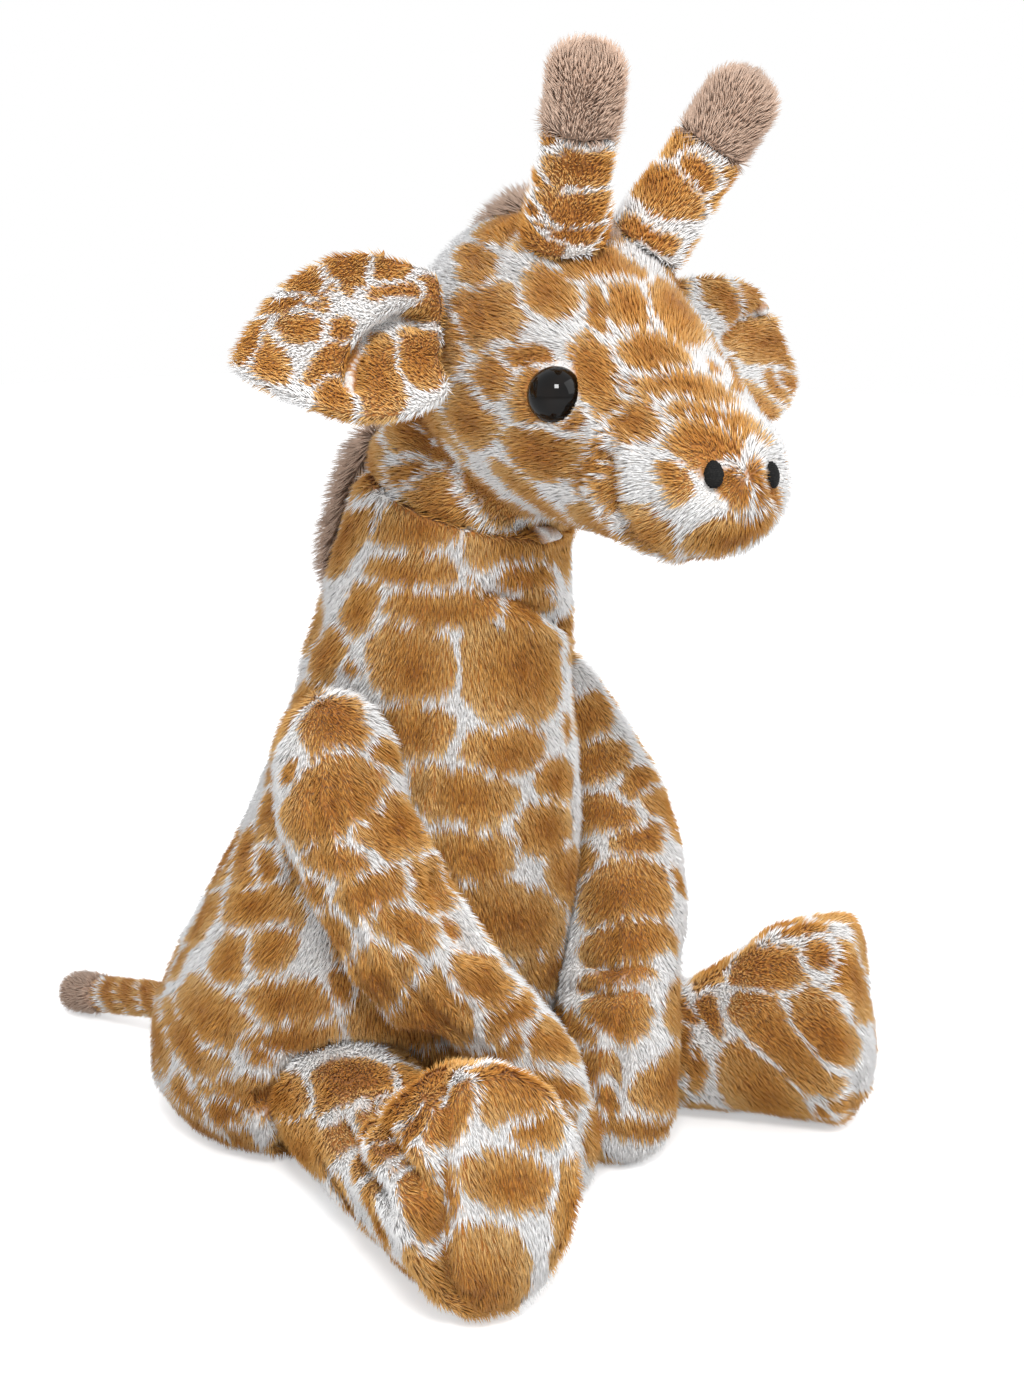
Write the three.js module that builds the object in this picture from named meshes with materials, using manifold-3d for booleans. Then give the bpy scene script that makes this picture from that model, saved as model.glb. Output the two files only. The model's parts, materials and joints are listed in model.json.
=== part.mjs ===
// A seated plush giraffe, in millimetres. It faces -Y, its right side is -X and +Z is up.
// The origin is on the floor, at the middle of the flat seat.
// Each cloth skin is a hollow shell, open where it is sewn on, with its stuffing inside.

import * as THREE from 'three';
import Module from 'manifold-3d';

const wasm = await Module();
wasm.setup();

// Cloth, seams and running gaps
const skin_wall = 2.6;
const seam_gap = 0.35;
const stuffing_gap = 0.35;
const seat_dip = 0.5;
const arm_to_leg_gap = 9;
const cut_overrun = 200;

// Body and neck, one stuffed form from the seat to the neck seam
const body_height = 250;
const body_lean = 67;
const body_half_width = 67;
const body_half_depth = 67;
const body_seat_round = 19;
const body_seat_flat_share = 0.45;
const body_top_round = 30;
// Each row: height share, lean share, width share, depth share
const body_shares = [
  [0.00, 0.00, 0.930, 0.930],
  [0.10, -0.02, 1.000, 1.000],
  [0.20, -0.11, 1.000, 1.000],
  [0.30, -0.22, 0.935, 0.945],
  [0.40, -0.34, 0.850, 0.865],
  [0.50, -0.44, 0.765, 0.780],
  [0.60, -0.52, 0.670, 0.680],
  [0.70, -0.59, 0.610, 0.615],
  [0.80, -0.66, 0.575, 0.585],
  [0.90, -0.81, 0.565, 0.575],
  [1.00, -1.00, 0.560, 0.570],
];

// Neck seam, where the head is sewn on: a plane that slopes down towards the front
const neck_seam_height_share = 0.88;
const neck_seam_tilt_deg = 22;
const head_turn_at_rest_deg = -10;

// Head, one stuffed form from the back of the skull to the muzzle
const head_length = 133;
const head_drop = 46;
const head_half_width = 43;
const head_half_height = 43;
const head_back_round = 34;
const muzzle_round = 17;
const head_back_behind = 5;
const head_back_rise = 50;
// Each row: length share, drop share, width share, height share
const head_shares = [
  [0.00, 0.00, 0.80, 0.82],
  [0.20, 0.10, 0.92, 0.94],
  [0.36, 0.25, 1.00, 1.00],
  [0.52, 0.46, 0.96, 0.92],
  [0.66, 0.68, 0.82, 0.74],
  [0.80, 0.86, 0.69, 0.56],
  [0.92, 0.97, 0.62, 0.48],
  [1.00, 1.00, 0.56, 0.43],
];

// Arms, draped down the flanks so that the paws rest between the legs
const arm_radius = 20;
// Each row: body height share, turn from the front in degrees, distance out of the body in arm radii
const arm_route_shares = [
  [0.560, 78.0, 0.20],
  [0.490, 69.0, 0.46],
  [0.415, 55.5, 0.68],
  [0.332, 40.0, 0.86],
  [0.246, 25.5, 1.00],
  [0.156, 15.5, 1.26],
  [0.082, 12.6, 1.56],
  [0.007, 12.4, 1.62],
];
// Each row: length share, girth share
const arm_girth_shares = [
  [0.00, 0.95],
  [0.15, 0.98],
  [0.40, 1.02],
  [0.65, 0.97],
  [0.85, 1.00],
  [1.00, 1.00],
];

// Legs, stretched forward on the floor, each ending in a tall foot
const leg_length = 118;
const leg_splay_deg = 24.6;
const hip_out_share = 0.70;
const hip_ahead_share = 0.61;
const foot_half_width = 29;
const foot_half_height = 37.5;
const sole_round = 7;
const sole_thickness = 5;
const thigh_share = 0.25;
// Each row: length share, width share of the foot, height share of the foot
const leg_shares = [
  [-0.25, 0.85, 0.66],
  [0.00, 0.86, 0.665],
  [0.25, 0.865, 0.668],
  [0.46, 0.82, 0.65],
  [0.56, 0.86, 0.74],
  [0.68, 0.96, 0.92],
  [0.84, 1.00, 1.00],
  [1.00, 0.97, 0.985],
];

// Tail, lying back on the floor
const tail_length = 96;
const tail_radius = 6.8;
const tail_root_share = 0.93;
const tail_root_height = 21;
const tail_tip_length = 21;
const tail_tip_swell = 0.8;

// Horns, leaning forward and apart
const horn_length = 58;
const horn_base_radius = 12.8;
const horn_neck_radius = 10;
const horn_tip_length = 25;
const horn_tip_radius = 10.4;
const horn_sink = 8;
const horn_round = 8;
const horn_place_share = 0.375;
const horn_angle_deg = 68;
const horn_splay_deg = 17;
const horn_lean_deg = 26;

// Ears, two cloth layers each, folded at the root
const ear_length = 75;
const ear_half_width = 24;
const ear_layer = 3;
const ear_cup = 9;
const ear_droop = 6;
const ear_place_share = 0.30;
const ear_angle_deg = 6;
const ear_sweep_deg = 0;
const ear_hang_deg = { right: 8, left: 3 };
const ear_sink = 9;
const ear_roll_deg = 70;
const ear_edge_thinning_share = 0.25;
// Each row: length share, width share
const ear_width_shares = [
  [0.00, 0.42],
  [0.12, 0.62],
  [0.35, 0.95],
  [0.55, 1.00],
  [0.75, 0.82],
  [0.90, 0.50],
  [1.00, 0.12],
];

// Eyes: a domed cap on a shank, held inside by a washer
const eye_radius = 8.2;
const eye_dome = 5.2;
const eye_rim = 1;
const eye_shank_radius = 1.6;
const eye_shank_length = 9;
const washer_radius = 7.5;
const washer_thickness = 1.4;
const shank_clearance = 0.3;
const eye_place_share = 0.615;
const eye_angle_deg = 16;

// Nostrils, thick embroidered ovals
const nostril_half_width = 3.1;
const nostril_half_height = 4;
const nostril_swell = 1.7;
const nostril_place_share = 0.975;
const nostril_angle_deg = 35;

// Mane strips on the nape and on the back of the skull
const mane_half_width = 7;
const mane_rise = 6;
const neck_mane_from_share = 0.66;
const neck_mane_to_share = 0.97;
const head_mane_from_share = 0.06;
const head_mane_to_share = 0.40;

// Weighting bags of pellets
const seat_bag_radius = 29;
const seat_bag_half_height = 14;
const seat_bag_base_deg = 72;
const foot_bag_radius = 13;
const foot_bag_lift = 3;
const foot_bag_half_height = 8;

// Joint ranges that the cut-outs follow
const hip_range_deg = [-30, 0];
const arm_clears_leg_deg = [-30, 10];
const shoulder_range_deg = [0, 65];
const tail_range_deg = [-20, 40];
const ear_range_deg = [-18, 18];
const sweep_steps = 3;

// Fineness of the faceted forms. A filling has half as many sides as its skin, so it stays inside it.
const body_sides = 24;
const head_sides = 22;
const limb_sides = 14;
const small_sides = 10;
const eye_sides = 20;
const eye_steps = 4;
const lens_steps = 6;
const round_steps = 3;
const body_steps = 9;
const head_steps = 8;
const leg_steps = 8;
const arm_steps = 7;
const tail_steps = 6;
const horn_steps = 6;
const mane_steps = 5;
const socket_steps = 3;
const ear_rows = 7;
const ear_columns = 6;
const probe_share = 1 / 400;
const least_half_size = 0.05;
const merge_steps_per_mm = 2000;

const deg = Math.PI / 180;
const X = new THREE.Vector3(1, 0, 0);
const Y = new THREE.Vector3(0, 1, 0);
const Z = new THREE.Vector3(0, 0, 1);
const vec = (x, y, z) => new THREE.Vector3(x, y, z);

// Smooth curve through the rows of a table: row[0] is the place, row[column] the value
function smooth(rows, column) {
  const places = rows.map((row) => row[0]);
  const values = rows.map((row) => row[column]);
  const result = new Float64Array(1);
  const curve = new THREE.Interpolant(places, values, 1, result);
  const slope = (i) => {
    const before = Math.max(i - 1, 0);
    const after = Math.min(i + 1, places.length - 1);
    return (values[after] - values[before]) / (places[after] - places[before]);
  };
  curve.interpolate_ = (i, low, at, high) => {
    const width = high - low;
    const t = (at - low) / width;
    const rise = values[i] - values[i - 1];
    const start = slope(i - 1) * width;
    const end = slope(i) * width;
    result[0] = values[i - 1] + start * t + (3 * rise - 2 * start - end) * t * t
      + (start + end - 2 * rise) * t * t * t;
    return result;
  };
  return (at) => curve.evaluate(Math.min(Math.max(at, places[0]), places[places.length - 1]))[0];
}

// A stuffed form: ovals along a route, closed by a round end at each side.
// centre(s) is the route, tangent(s) its direction, size(s) the oval's half-width and half-height.
// start_flat is the share of the first oval that is flat, as on a seat.
function stuffed({ centre, tangent, up, size, length, start_round, end_round, steps, start_flat = 0 }) {
  const dome = (s) => {
    const from_start = Math.min(s / start_round, 1);
    const from_end = Math.min((length - s) / end_round, 1);
    const start = start_flat + (1 - start_flat) * Math.sqrt(Math.max(1 - (1 - from_start) ** 2, 0));
    const end = Math.sqrt(Math.max(1 - (1 - from_end) ** 2, 0));
    return start * end;
  };
  const oval = (s) => size(s).map((half) => half * dome(s));
  const places = start_flat > 0 ? [0] : [];
  for (let i = 1; i < round_steps; i += 1) {
    places.push(start_round * (1 - Math.cos((i / round_steps) * Math.PI / 2)));
  }
  for (let i = 0; i <= steps; i += 1) {
    places.push(start_round + (length - start_round - end_round) * i / steps);
  }
  for (let i = round_steps - 1; i > 0; i -= 1) {
    places.push(length - end_round * (1 - Math.cos((i / round_steps) * Math.PI / 2)));
  }
  const probe = length * probe_share;
  // The frame and size of the oval at s, moved outwards by grow
  const ring = (s, grow) => {
    const before = Math.max(s - probe, 0);
    const after = Math.min(s + probe, length);
    const mean = (at) => (oval(at)[0] + oval(at)[1]) / 2;
    const slope = (mean(after) - mean(before)) / (after - before);
    const norm = Math.hypot(1, slope);
    const along = tangent(s);
    const side = new THREE.Vector3().crossVectors(along, up).normalize();
    const top = new THREE.Vector3().crossVectors(side, along).normalize();
    const middle = centre(s).addScaledVector(along, -grow * slope / norm);
    const [half_width, half_height] = oval(s).map((half) => Math.max(half + grow / norm, least_half_size));
    return { middle, along, side, top, half_width, half_height };
  };
  const point = (r, angle) => r.middle.clone()
    .addScaledVector(r.side, r.half_width * Math.cos(angle))
    .addScaledVector(r.top, r.half_height * Math.sin(angle));
  return {
    length,
    ring,
    // A place on the cloth at a length share and an angle from the side, with its outward direction
    surface(share, angle_deg) {
      const s = share * length;
      const r = ring(s, 0);
      const at = point(r, angle_deg * deg);
      const outer = point(ring(s, skin_wall), angle_deg * deg);
      return { at, out: outer.sub(at).normalize() };
    },
    solid(grow, sides) {
      const points = [];
      const faces = [];
      points.push(centre(0).addScaledVector(tangent(0), -grow));
      for (const s of places) {
        const r = ring(s, grow);
        for (let i = 0; i < sides; i += 1) {
          points.push(point(r, (i / sides) * 2 * Math.PI));
        }
      }
      points.push(centre(length).addScaledVector(tangent(length), grow));
      const last = points.length - 1;
      for (let i = 0; i < sides; i += 1) {
        const next = (i + 1) % sides;
        faces.push(0, 1 + next, 1 + i);
        for (let row = 0; row < places.length - 1; row += 1) {
          const a = 1 + row * sides;
          const b = a + sides;
          faces.push(a + i, a + next, b + i, a + next, b + next, b + i);
        }
        faces.push(last, last - sides + i, last - sides + next);
      }
      return to_solid(points, faces);
    },
  };
}

function to_solid(points, faces) {
  const vertProperties = new Float32Array(points.flatMap((p) => [p.x, p.y, p.z]));
  let triVerts = new Uint32Array(faces);
  const shape = new wasm.Manifold(new wasm.Mesh({ numProp: 3, vertProperties, triVerts }));
  if (shape.volume() > 0) {
    return shape;
  }
  triVerts = triVerts.map((value, i) => triVerts[i % 3 === 1 ? i + 1 : i % 3 === 2 ? i - 1 : i]);
  return new wasm.Manifold(new wasm.Mesh({ numProp: 3, vertProperties, triVerts }));
}

// A three.js geometry as a solid, placed by a matrix
function from_geometry(geometry, matrix) {
  const merged = new Map();
  const points = [];
  const faces = [];
  const position = geometry.attributes.position;
  const places = geometry.index ? Array.from(geometry.index.array)
    : Array.from({ length: position.count }, (_, i) => i);
  const own = places.map((i) => {
    const p = new THREE.Vector3().fromBufferAttribute(position, i);
    const key = [p.x, p.y, p.z].map((value) => Math.round(value * merge_steps_per_mm)).join(' ');
    if (!merged.has(key)) {
      merged.set(key, points.length);
      points.push(p.applyMatrix4(matrix));
    }
    return merged.get(key);
  });
  for (let i = 0; i < own.length; i += 3) {
    const [a, b, c] = own.slice(i, i + 3);
    if (a !== b && b !== c && c !== a) {
      faces.push(a, b, c);
    }
  }
  return to_solid(points, faces);
}

// A revolved outline whose axis starts at a place and runs along a direction
function revolved(outline, sides, at, direction) {
  const geometry = new THREE.LatheGeometry(outline.map(([r, h]) => new THREE.Vector2(r, h)), sides);
  const turn = new THREE.Quaternion().setFromUnitVectors(Y, direction.clone().normalize());
  return from_geometry(geometry, new THREE.Matrix4().compose(at, turn, vec(1, 1, 1)));
}

function turned(shape, pivot, axis, angle) {
  const matrix = new THREE.Matrix4().makeTranslation(pivot.x, pivot.y, pivot.z)
    .multiply(new THREE.Matrix4().makeRotationAxis(axis, angle * deg))
    .multiply(new THREE.Matrix4().makeTranslation(-pivot.x, -pivot.y, -pivot.z));
  return shape.transform(matrix.elements);
}

// All the space that a shape passes through while it turns over a range
function swept(shape, pivot, axis, [from, to]) {
  let space = turned(shape, pivot, axis, from);
  for (let i = 1; i <= sweep_steps; i += 1) {
    space = space.add(turned(shape, pivot, axis, from + (to - from) * i / sweep_steps));
  }
  return space;
}

// The half of space on one side of a plane, as a large block
function beyond(at, direction) {
  const block = new THREE.BoxGeometry(2 * cut_overrun, 2 * cut_overrun, 2 * cut_overrun);
  const turn = new THREE.Quaternion().setFromUnitVectors(Z, direction);
  const middle = at.clone().addScaledVector(direction, cut_overrun);
  return from_geometry(block, new THREE.Matrix4().compose(middle, turn, vec(1, 1, 1)));
}

function to_mesh(name, shape, material) {
  const { vertProperties, triVerts } = shape.getMesh();
  const geometry = new THREE.BufferGeometry();
  geometry.setAttribute('position', new THREE.BufferAttribute(new Float32Array(vertProperties), 3));
  geometry.setIndex(new THREE.BufferAttribute(new Uint32Array(triVerts), 1));
  geometry.computeVertexNormals();
  const mesh = new THREE.Mesh(geometry, material);
  mesh.name = name;
  return mesh;
}

const cloth = (color) => new THREE.MeshStandardMaterial({ color, roughness: 0.95, metalness: 0 });
const patterned_pile = cloth(0xc08440);
const taupe_pile = cloth(0xa88a74);
const stuffing = cloth(0xf2f2ee);
const bag_cloth = cloth(0xd8d4c8);
const eye_plastic = new THREE.MeshStandardMaterial({ color: 0x080808, roughness: 0.08, metalness: 0 });
const washer_plastic = new THREE.MeshStandardMaterial({ color: 0xe4e4e0, roughness: 0.5, metalness: 0 });
const nostril_thread = cloth(0x101010);

const sides_of_body = [['right', -1], ['left', 1]];
const floor = beyond(vec(0, 0, 0), Z);
const above = (height) => beyond(vec(0, 0, height), Z);

// Body and neck
const lean_at = smooth(body_shares, 1);
const body_width_at = smooth(body_shares, 2);
const body_depth_at = smooth(body_shares, 3);
const body_centre = (s) => vec(0, lean_at(s / body_height) * body_lean, s - seat_dip);
const body = stuffed({
  centre: body_centre,
  tangent: () => Z.clone(),
  up: Y,
  size: (s) => [
    body_width_at(s / body_height) * body_half_width,
    body_depth_at(s / body_height) * body_half_depth,
  ],
  length: body_height,
  start_round: body_seat_round,
  start_flat: body_seat_flat_share,
  end_round: body_top_round,
  steps: body_steps,
});

const seam_middle = body_centre(neck_seam_height_share * body_height);
const seam_up = vec(0, -Math.sin(neck_seam_tilt_deg * deg), Math.cos(neck_seam_tilt_deg * deg));
const seam_at = (lift) => seam_middle.clone().addScaledVector(seam_up, lift);
const below_seam = (lift) => beyond(seam_at(lift), seam_up.clone().negate());
const above_seam = (lift) => beyond(seam_at(lift), seam_up);

// Legs: the round root of each leg turns in a socket of the body
const leg_width_at = smooth(leg_shares, 1);
const leg_height_at = smooth(leg_shares, 2);
function leg_parts(sign) {
  const ahead = vec(sign * Math.sin(leg_splay_deg * deg), -Math.cos(leg_splay_deg * deg), 0);
  const hip = vec(
    sign * hip_out_share * body_half_width,
    -hip_ahead_share * body_half_depth,
    leg_height_at(0) * foot_half_height - seat_dip,
  );
  const root = leg_width_at(0) * foot_half_width;
  const size = (s) => {
    const share = (s - root) / leg_length;
    return [leg_width_at(share) * foot_half_width, leg_height_at(share) * foot_half_height];
  };
  const form = stuffed({
    centre: (s) => vec(hip.x, hip.y, size(s)[1] - seat_dip).addScaledVector(ahead, s - root),
    tangent: () => ahead.clone(),
    up: Z,
    size,
    length: root + leg_length,
    start_round: root,
    end_round: sole_round,
    steps: leg_steps,
  });
  const axis = new THREE.Vector3().crossVectors(ahead, Z);
  const sole_seam = hip.clone().addScaledVector(ahead, leg_length - sole_thickness);
  return { form, hip, axis, ahead, sole_seam };
}
const legs = sides_of_body.map(([side, sign]) => ({ side, ...leg_parts(sign) }));

// The space that a round root needs while its limb turns in the plane of Z and ahead.
// The socket's flats stand outside the corners of the root, so its radius is larger than the root's.
function socket(pivot, ahead, limb_root, [from, to], sides, grow) {
  const root = limb_root / (Math.cos(Math.PI / sides) * Math.cos(Math.PI / 4 / round_steps));
  const axis = new THREE.Vector3().crossVectors(ahead, Z).normalize();
  const middle = ahead.clone().applyAxisAngle(axis, (from + to) / 2 * deg);
  const half_range = (to - from) / 2 * deg;
  const lip = root / Math.cos(half_range);
  const flare = Math.tan(half_range);
  return stuffed({
    centre: (s) => pivot.clone().addScaledVector(middle, s - root),
    tangent: () => middle.clone(),
    up: Z,
    size: (s) => [root, lip + Math.max(s - root, 0) * flare],
    length: 3 * root,
    start_round: root,
    end_round: seam_gap,
    steps: socket_steps,
  }).solid(seam_gap + grow, sides);
}
const leg_root = Math.max(
  leg_width_at(thigh_share) * foot_half_width,
  leg_height_at(thigh_share) * foot_half_height,
);
const leg_sockets = (grow) => legs
  .map((leg) => socket(leg.hip, leg.ahead, leg_root, hip_range_deg, limb_sides, grow))
  .reduce((all, one) => all.add(one));

// Tail: its root turns in a socket at the back of the body
const tail_root_back = tail_root_share * body_half_depth + body_centre(tail_root_height).y;
const tail_root = vec(0, tail_root_back, tail_root_height);
const tail_fall = tail_root_height - tail_radius - seam_gap;
const tail_back = vec(0, Math.sqrt(tail_length ** 2 - tail_fall ** 2), -tail_fall).normalize();
const tail_form = stuffed({
  centre: (s) => tail_root.clone().addScaledVector(tail_back, s - tail_radius),
  tangent: () => tail_back.clone(),
  up: Z,
  size: (s) => {
    const swell = s > tail_length - tail_tip_length + tail_radius ? tail_tip_swell : 0;
    return [tail_radius + swell, tail_radius];
  },
  length: tail_length + tail_radius,
  start_round: tail_radius,
  end_round: tail_radius,
  steps: tail_steps,
});
const tail_socket = (grow) => socket(tail_root, tail_back, tail_radius, tail_range_deg, small_sides, grow);

// Body skin, stuffing and seat bag
const sockets = (grow) => leg_sockets(grow).add(tail_socket(grow));
const body_outside = body.solid(0, body_sides)
  .intersect(floor)
  .intersect(below_seam(0))
  .subtract(sockets(0));
const body_inside = body.solid(-skin_wall, body_sides)
  .intersect(above(skin_wall))
  .subtract(sockets(skin_wall));
// Half the outline of a lens from its foot to its crown, with a flat foot where base_deg is under 90
const lens_outline = (radius, half_height, base_deg) => {
  const foot = -half_height * Math.sin(base_deg * deg);
  const outline = [[0, foot]];
  for (let i = base_deg < 90 ? 0 : 1; i < lens_steps; i += 1) {
    const angle = (-base_deg + (90 + base_deg) * i / lens_steps) * deg;
    outline.push([radius * Math.cos(angle), half_height * Math.sin(angle)]);
  }
  outline.push([0, half_height]);
  return outline;
};
const bag = (grow, radius, half_height, base_deg, middle) => revolved(
  lens_outline(radius + grow, half_height + grow, base_deg),
  small_sides,
  middle,
  Z,
);
// The seat bag lies flat on the cloth of the seat, in a pocket of the stuffing that is open below
const seat_bag_foot = seat_bag_half_height * Math.sin(seat_bag_base_deg * deg);
const seat_bag_middle = vec(0, 0, skin_wall + stuffing_gap + seat_bag_foot);
const seat_bag = (grow) => bag(grow, seat_bag_radius, seat_bag_half_height, seat_bag_base_deg, seat_bag_middle);
const body_stuffing = body.solid(-skin_wall - stuffing_gap, body_sides / 2)
  .intersect(above(skin_wall + stuffing_gap))
  .intersect(below_seam(-seam_gap))
  .subtract(sockets(skin_wall + stuffing_gap))
  .subtract(seat_bag(stuffing_gap));

// Head, made facing straight ahead and then turned about the neck seam
const head_back = seam_middle.clone().add(vec(0, head_back_behind, head_back_rise));
const drop_at = smooth(head_shares, 1);
const head_width_at = smooth(head_shares, 2);
const head_height_at = smooth(head_shares, 3);
const head_reach = Math.sqrt(head_length ** 2 - head_drop ** 2);
const head_centre = (s) => head_back.clone()
  .add(vec(0, -head_reach * s / head_length, -head_drop * drop_at(s / head_length)));
const head = stuffed({
  centre: head_centre,
  tangent: (s) => head_centre(Math.min(s + skin_wall, head_length))
    .sub(head_centre(Math.max(s - skin_wall, 0)))
    .normalize(),
  up: Z,
  size: (s) => [
    head_width_at(s / head_length) * head_half_width,
    head_height_at(s / head_length) * head_half_height,
  ],
  length: head_length,
  start_round: head_back_round,
  end_round: muzzle_round,
  steps: head_steps,
});
const neck_hole = body.solid(-skin_wall, body_sides);
const nape = body.solid(0, body_sides);
const head_outside = head.solid(0, head_sides).add(nape).intersect(above_seam(seam_gap));
const head_inside = head.solid(-skin_wall, head_sides).intersect(above_seam(seam_gap + skin_wall))
  .add(neck_hole.intersect(above_seam(-seam_gap)));

// Eyes: cap and shank in one piece, with the washer behind the cloth
const eye_outline = [
  [0, -eye_shank_length],
  [eye_shank_radius, -eye_shank_length],
  [eye_shank_radius, stuffing_gap],
  [eye_radius, stuffing_gap],
  [eye_radius, eye_rim],
];
for (let i = 1; i <= eye_steps; i += 1) {
  const angle = (i / eye_steps) * Math.PI / 2;
  const radius = i === eye_steps ? 0 : eye_radius * Math.cos(angle);
  eye_outline.push([radius, eye_rim + (eye_dome - eye_rim) * Math.sin(angle)]);
}
const washer_top = -skin_wall - stuffing_gap;
const shank_hole_radius = eye_shank_radius + shank_clearance;
const washer_outline = [
  [shank_hole_radius, washer_top],
  [shank_hole_radius, washer_top - washer_thickness],
  [washer_radius, washer_top - washer_thickness],
  [washer_radius, washer_top],
  [shank_hole_radius, washer_top],
];
const shank_hole_outline = [
  [0, -eye_shank_length],
  [shank_hole_radius, -eye_shank_length],
  [shank_hole_radius, eye_dome],
  [0, eye_dome],
];
const washer_pocket_outline = [
  [0, -eye_shank_length - stuffing_gap],
  [washer_radius + stuffing_gap, -eye_shank_length - stuffing_gap],
  [washer_radius + stuffing_gap, -skin_wall],
  [0, -skin_wall],
];
const eye_seat_outline = [
  [0, 0],
  [eye_radius + seam_gap, 0],
  [eye_radius + seam_gap, eye_dome],
  [0, eye_dome],
];
const eyes = sides_of_body.map(([side, sign]) => {
  const angle = sign < 0 ? eye_angle_deg : 180 - eye_angle_deg;
  const place = head.surface(eye_place_share, angle);
  return {
    side,
    cap: revolved(eye_outline, eye_sides, place.at, place.out),
    washer: revolved(washer_outline, small_sides, place.at, place.out),
    hole: revolved(shank_hole_outline, small_sides, place.at, place.out),
    pocket: revolved(washer_pocket_outline, small_sides, place.at, place.out),
    seat: revolved(eye_seat_outline, eye_sides, place.at, place.out),
  };
});
const eye_holes = eyes.reduce((all, eye) => all.add(eye.hole).add(eye.seat), eyes[0].hole);
const eye_pockets = eyes.reduce((all, eye) => all.add(eye.pocket), eyes[0].pocket);
const head_skin = head_outside.subtract(head_inside).subtract(eye_holes).subtract(eye_pockets);
const head_stuffing = head.solid(-skin_wall - stuffing_gap, head_sides / 2)
  .intersect(above_seam(seam_gap + skin_wall + stuffing_gap))
  .add(body.solid(-skin_wall - stuffing_gap, body_sides / 2).intersect(above_seam(seam_gap)))
  .subtract(eye_pockets);

// Nostrils, sewn on the muzzle
const head_clear = head.solid(seam_gap, head_sides);
const nostrils = sides_of_body.map(([side, sign]) => {
  const angle = sign < 0 ? nostril_angle_deg : 180 - nostril_angle_deg;
  const place = head.surface(nostril_place_share, angle);
  const outline = lens_outline(1, nostril_swell, 90);
  const geometry = new THREE.LatheGeometry(outline.map(([r, h]) => new THREE.Vector2(r, h)), small_sides);
  const up = new THREE.Vector3().crossVectors(place.out, X).cross(place.out).normalize();
  const across = new THREE.Vector3().crossVectors(place.out, up);
  const frame = new THREE.Matrix4().makeBasis(across.multiplyScalar(nostril_half_width), place.out,
    up.multiplyScalar(nostril_half_height)).setPosition(place.at);
  return { side, shape: from_geometry(geometry, frame).subtract(head_clear) };
});

// Horns: a patterned sleeve with a taupe tip
const horns = sides_of_body.map(([side, sign]) => {
  const place = head.surface(horn_place_share, sign < 0 ? horn_angle_deg : 180 - horn_angle_deg);
  const lean = horn_lean_deg * deg;
  const splay = horn_splay_deg * deg;
  const out = vec(sign * Math.sin(splay), -Math.sin(lean), Math.cos(lean) * Math.cos(splay)).normalize();
  const start = place.at.clone().addScaledVector(out, -horn_sink);
  const total = horn_length + horn_sink;
  const tip_from = total - horn_tip_length;
  const size = (s) => {
    const sleeve_radius = horn_base_radius + (horn_neck_radius - horn_base_radius) * s / tip_from;
    const radius = s < tip_from ? sleeve_radius : horn_tip_radius;
    return [radius, radius];
  };
  const form = stuffed({
    centre: (s) => start.clone().addScaledVector(out, s),
    tangent: () => out.clone(),
    up: Y,
    size,
    length: total,
    start_round: horn_round,
    end_round: horn_round,
    steps: horn_steps,
  });
  const split = start.clone().addScaledVector(out, tip_from);
  const trimmed = form.solid(0, limb_sides).subtract(head_clear);
  return {
    side,
    clear: form.solid(seam_gap, limb_sides),
    sleeve: trimmed.subtract(beyond(split, out))
      .subtract(form.solid(-skin_wall, small_sides)),
    tip: trimmed.intersect(beyond(split.clone().addScaledVector(out, seam_gap), out)),
    filling: form.solid(-skin_wall - stuffing_gap, small_sides).subtract(head_clear)
      .subtract(beyond(split, out)),
  };
});

// Ears: a cupped leaf of two cloth layers
function leaf(root, along, across, up, lift) {
  const width_at = smooth(ear_width_shares, 1);
  const points = [];
  const faces = [];
  for (const level of [0, 1]) {
    for (let i = 0; i <= ear_rows; i += 1) {
      const share = i / ear_rows;
      for (let j = 0; j <= ear_columns; j += 1) {
        const turn = 2 * j / ear_columns - 1;
        const half = width_at(share) * ear_half_width;
        const thick = (lift + level * (ear_layer - seam_gap)) * (1 - ear_edge_thinning_share * turn * turn);
        points.push(root.clone()
          .addScaledVector(along, share * ear_length)
          .addScaledVector(across, turn * half)
          .addScaledVector(up, thick + ear_cup * turn * turn * width_at(share) - ear_droop * share * share));
      }
    }
  }
  const stride = ear_columns + 1;
  const level_size = (ear_rows + 1) * stride;
  const at = (level, i, j) => level * level_size + i * stride + j;
  for (let i = 0; i < ear_rows; i += 1) {
    for (let j = 0; j < ear_columns; j += 1) {
      faces.push(at(0, i, j), at(0, i + 1, j), at(0, i, j + 1));
      faces.push(at(0, i + 1, j), at(0, i + 1, j + 1), at(0, i, j + 1));
      faces.push(at(1, i, j), at(1, i, j + 1), at(1, i + 1, j));
      faces.push(at(1, i + 1, j), at(1, i, j + 1), at(1, i + 1, j + 1));
    }
  }
  const edge = [];
  for (let j = 0; j < ear_columns; j += 1) {
    edge.push([0, j]);
  }
  for (let i = 0; i < ear_rows; i += 1) {
    edge.push([i, ear_columns]);
  }
  for (let j = ear_columns; j > 0; j -= 1) {
    edge.push([ear_rows, j]);
  }
  for (let i = ear_rows; i > 0; i -= 1) {
    edge.push([i, 0]);
  }
  edge.forEach(([i, j], k) => {
    const [ni, nj] = edge[(k + 1) % edge.length];
    faces.push(at(0, i, j), at(0, ni, nj), at(1, i, j), at(0, ni, nj), at(1, ni, nj), at(1, i, j));
  });
  return to_solid(points, faces);
}
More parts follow.
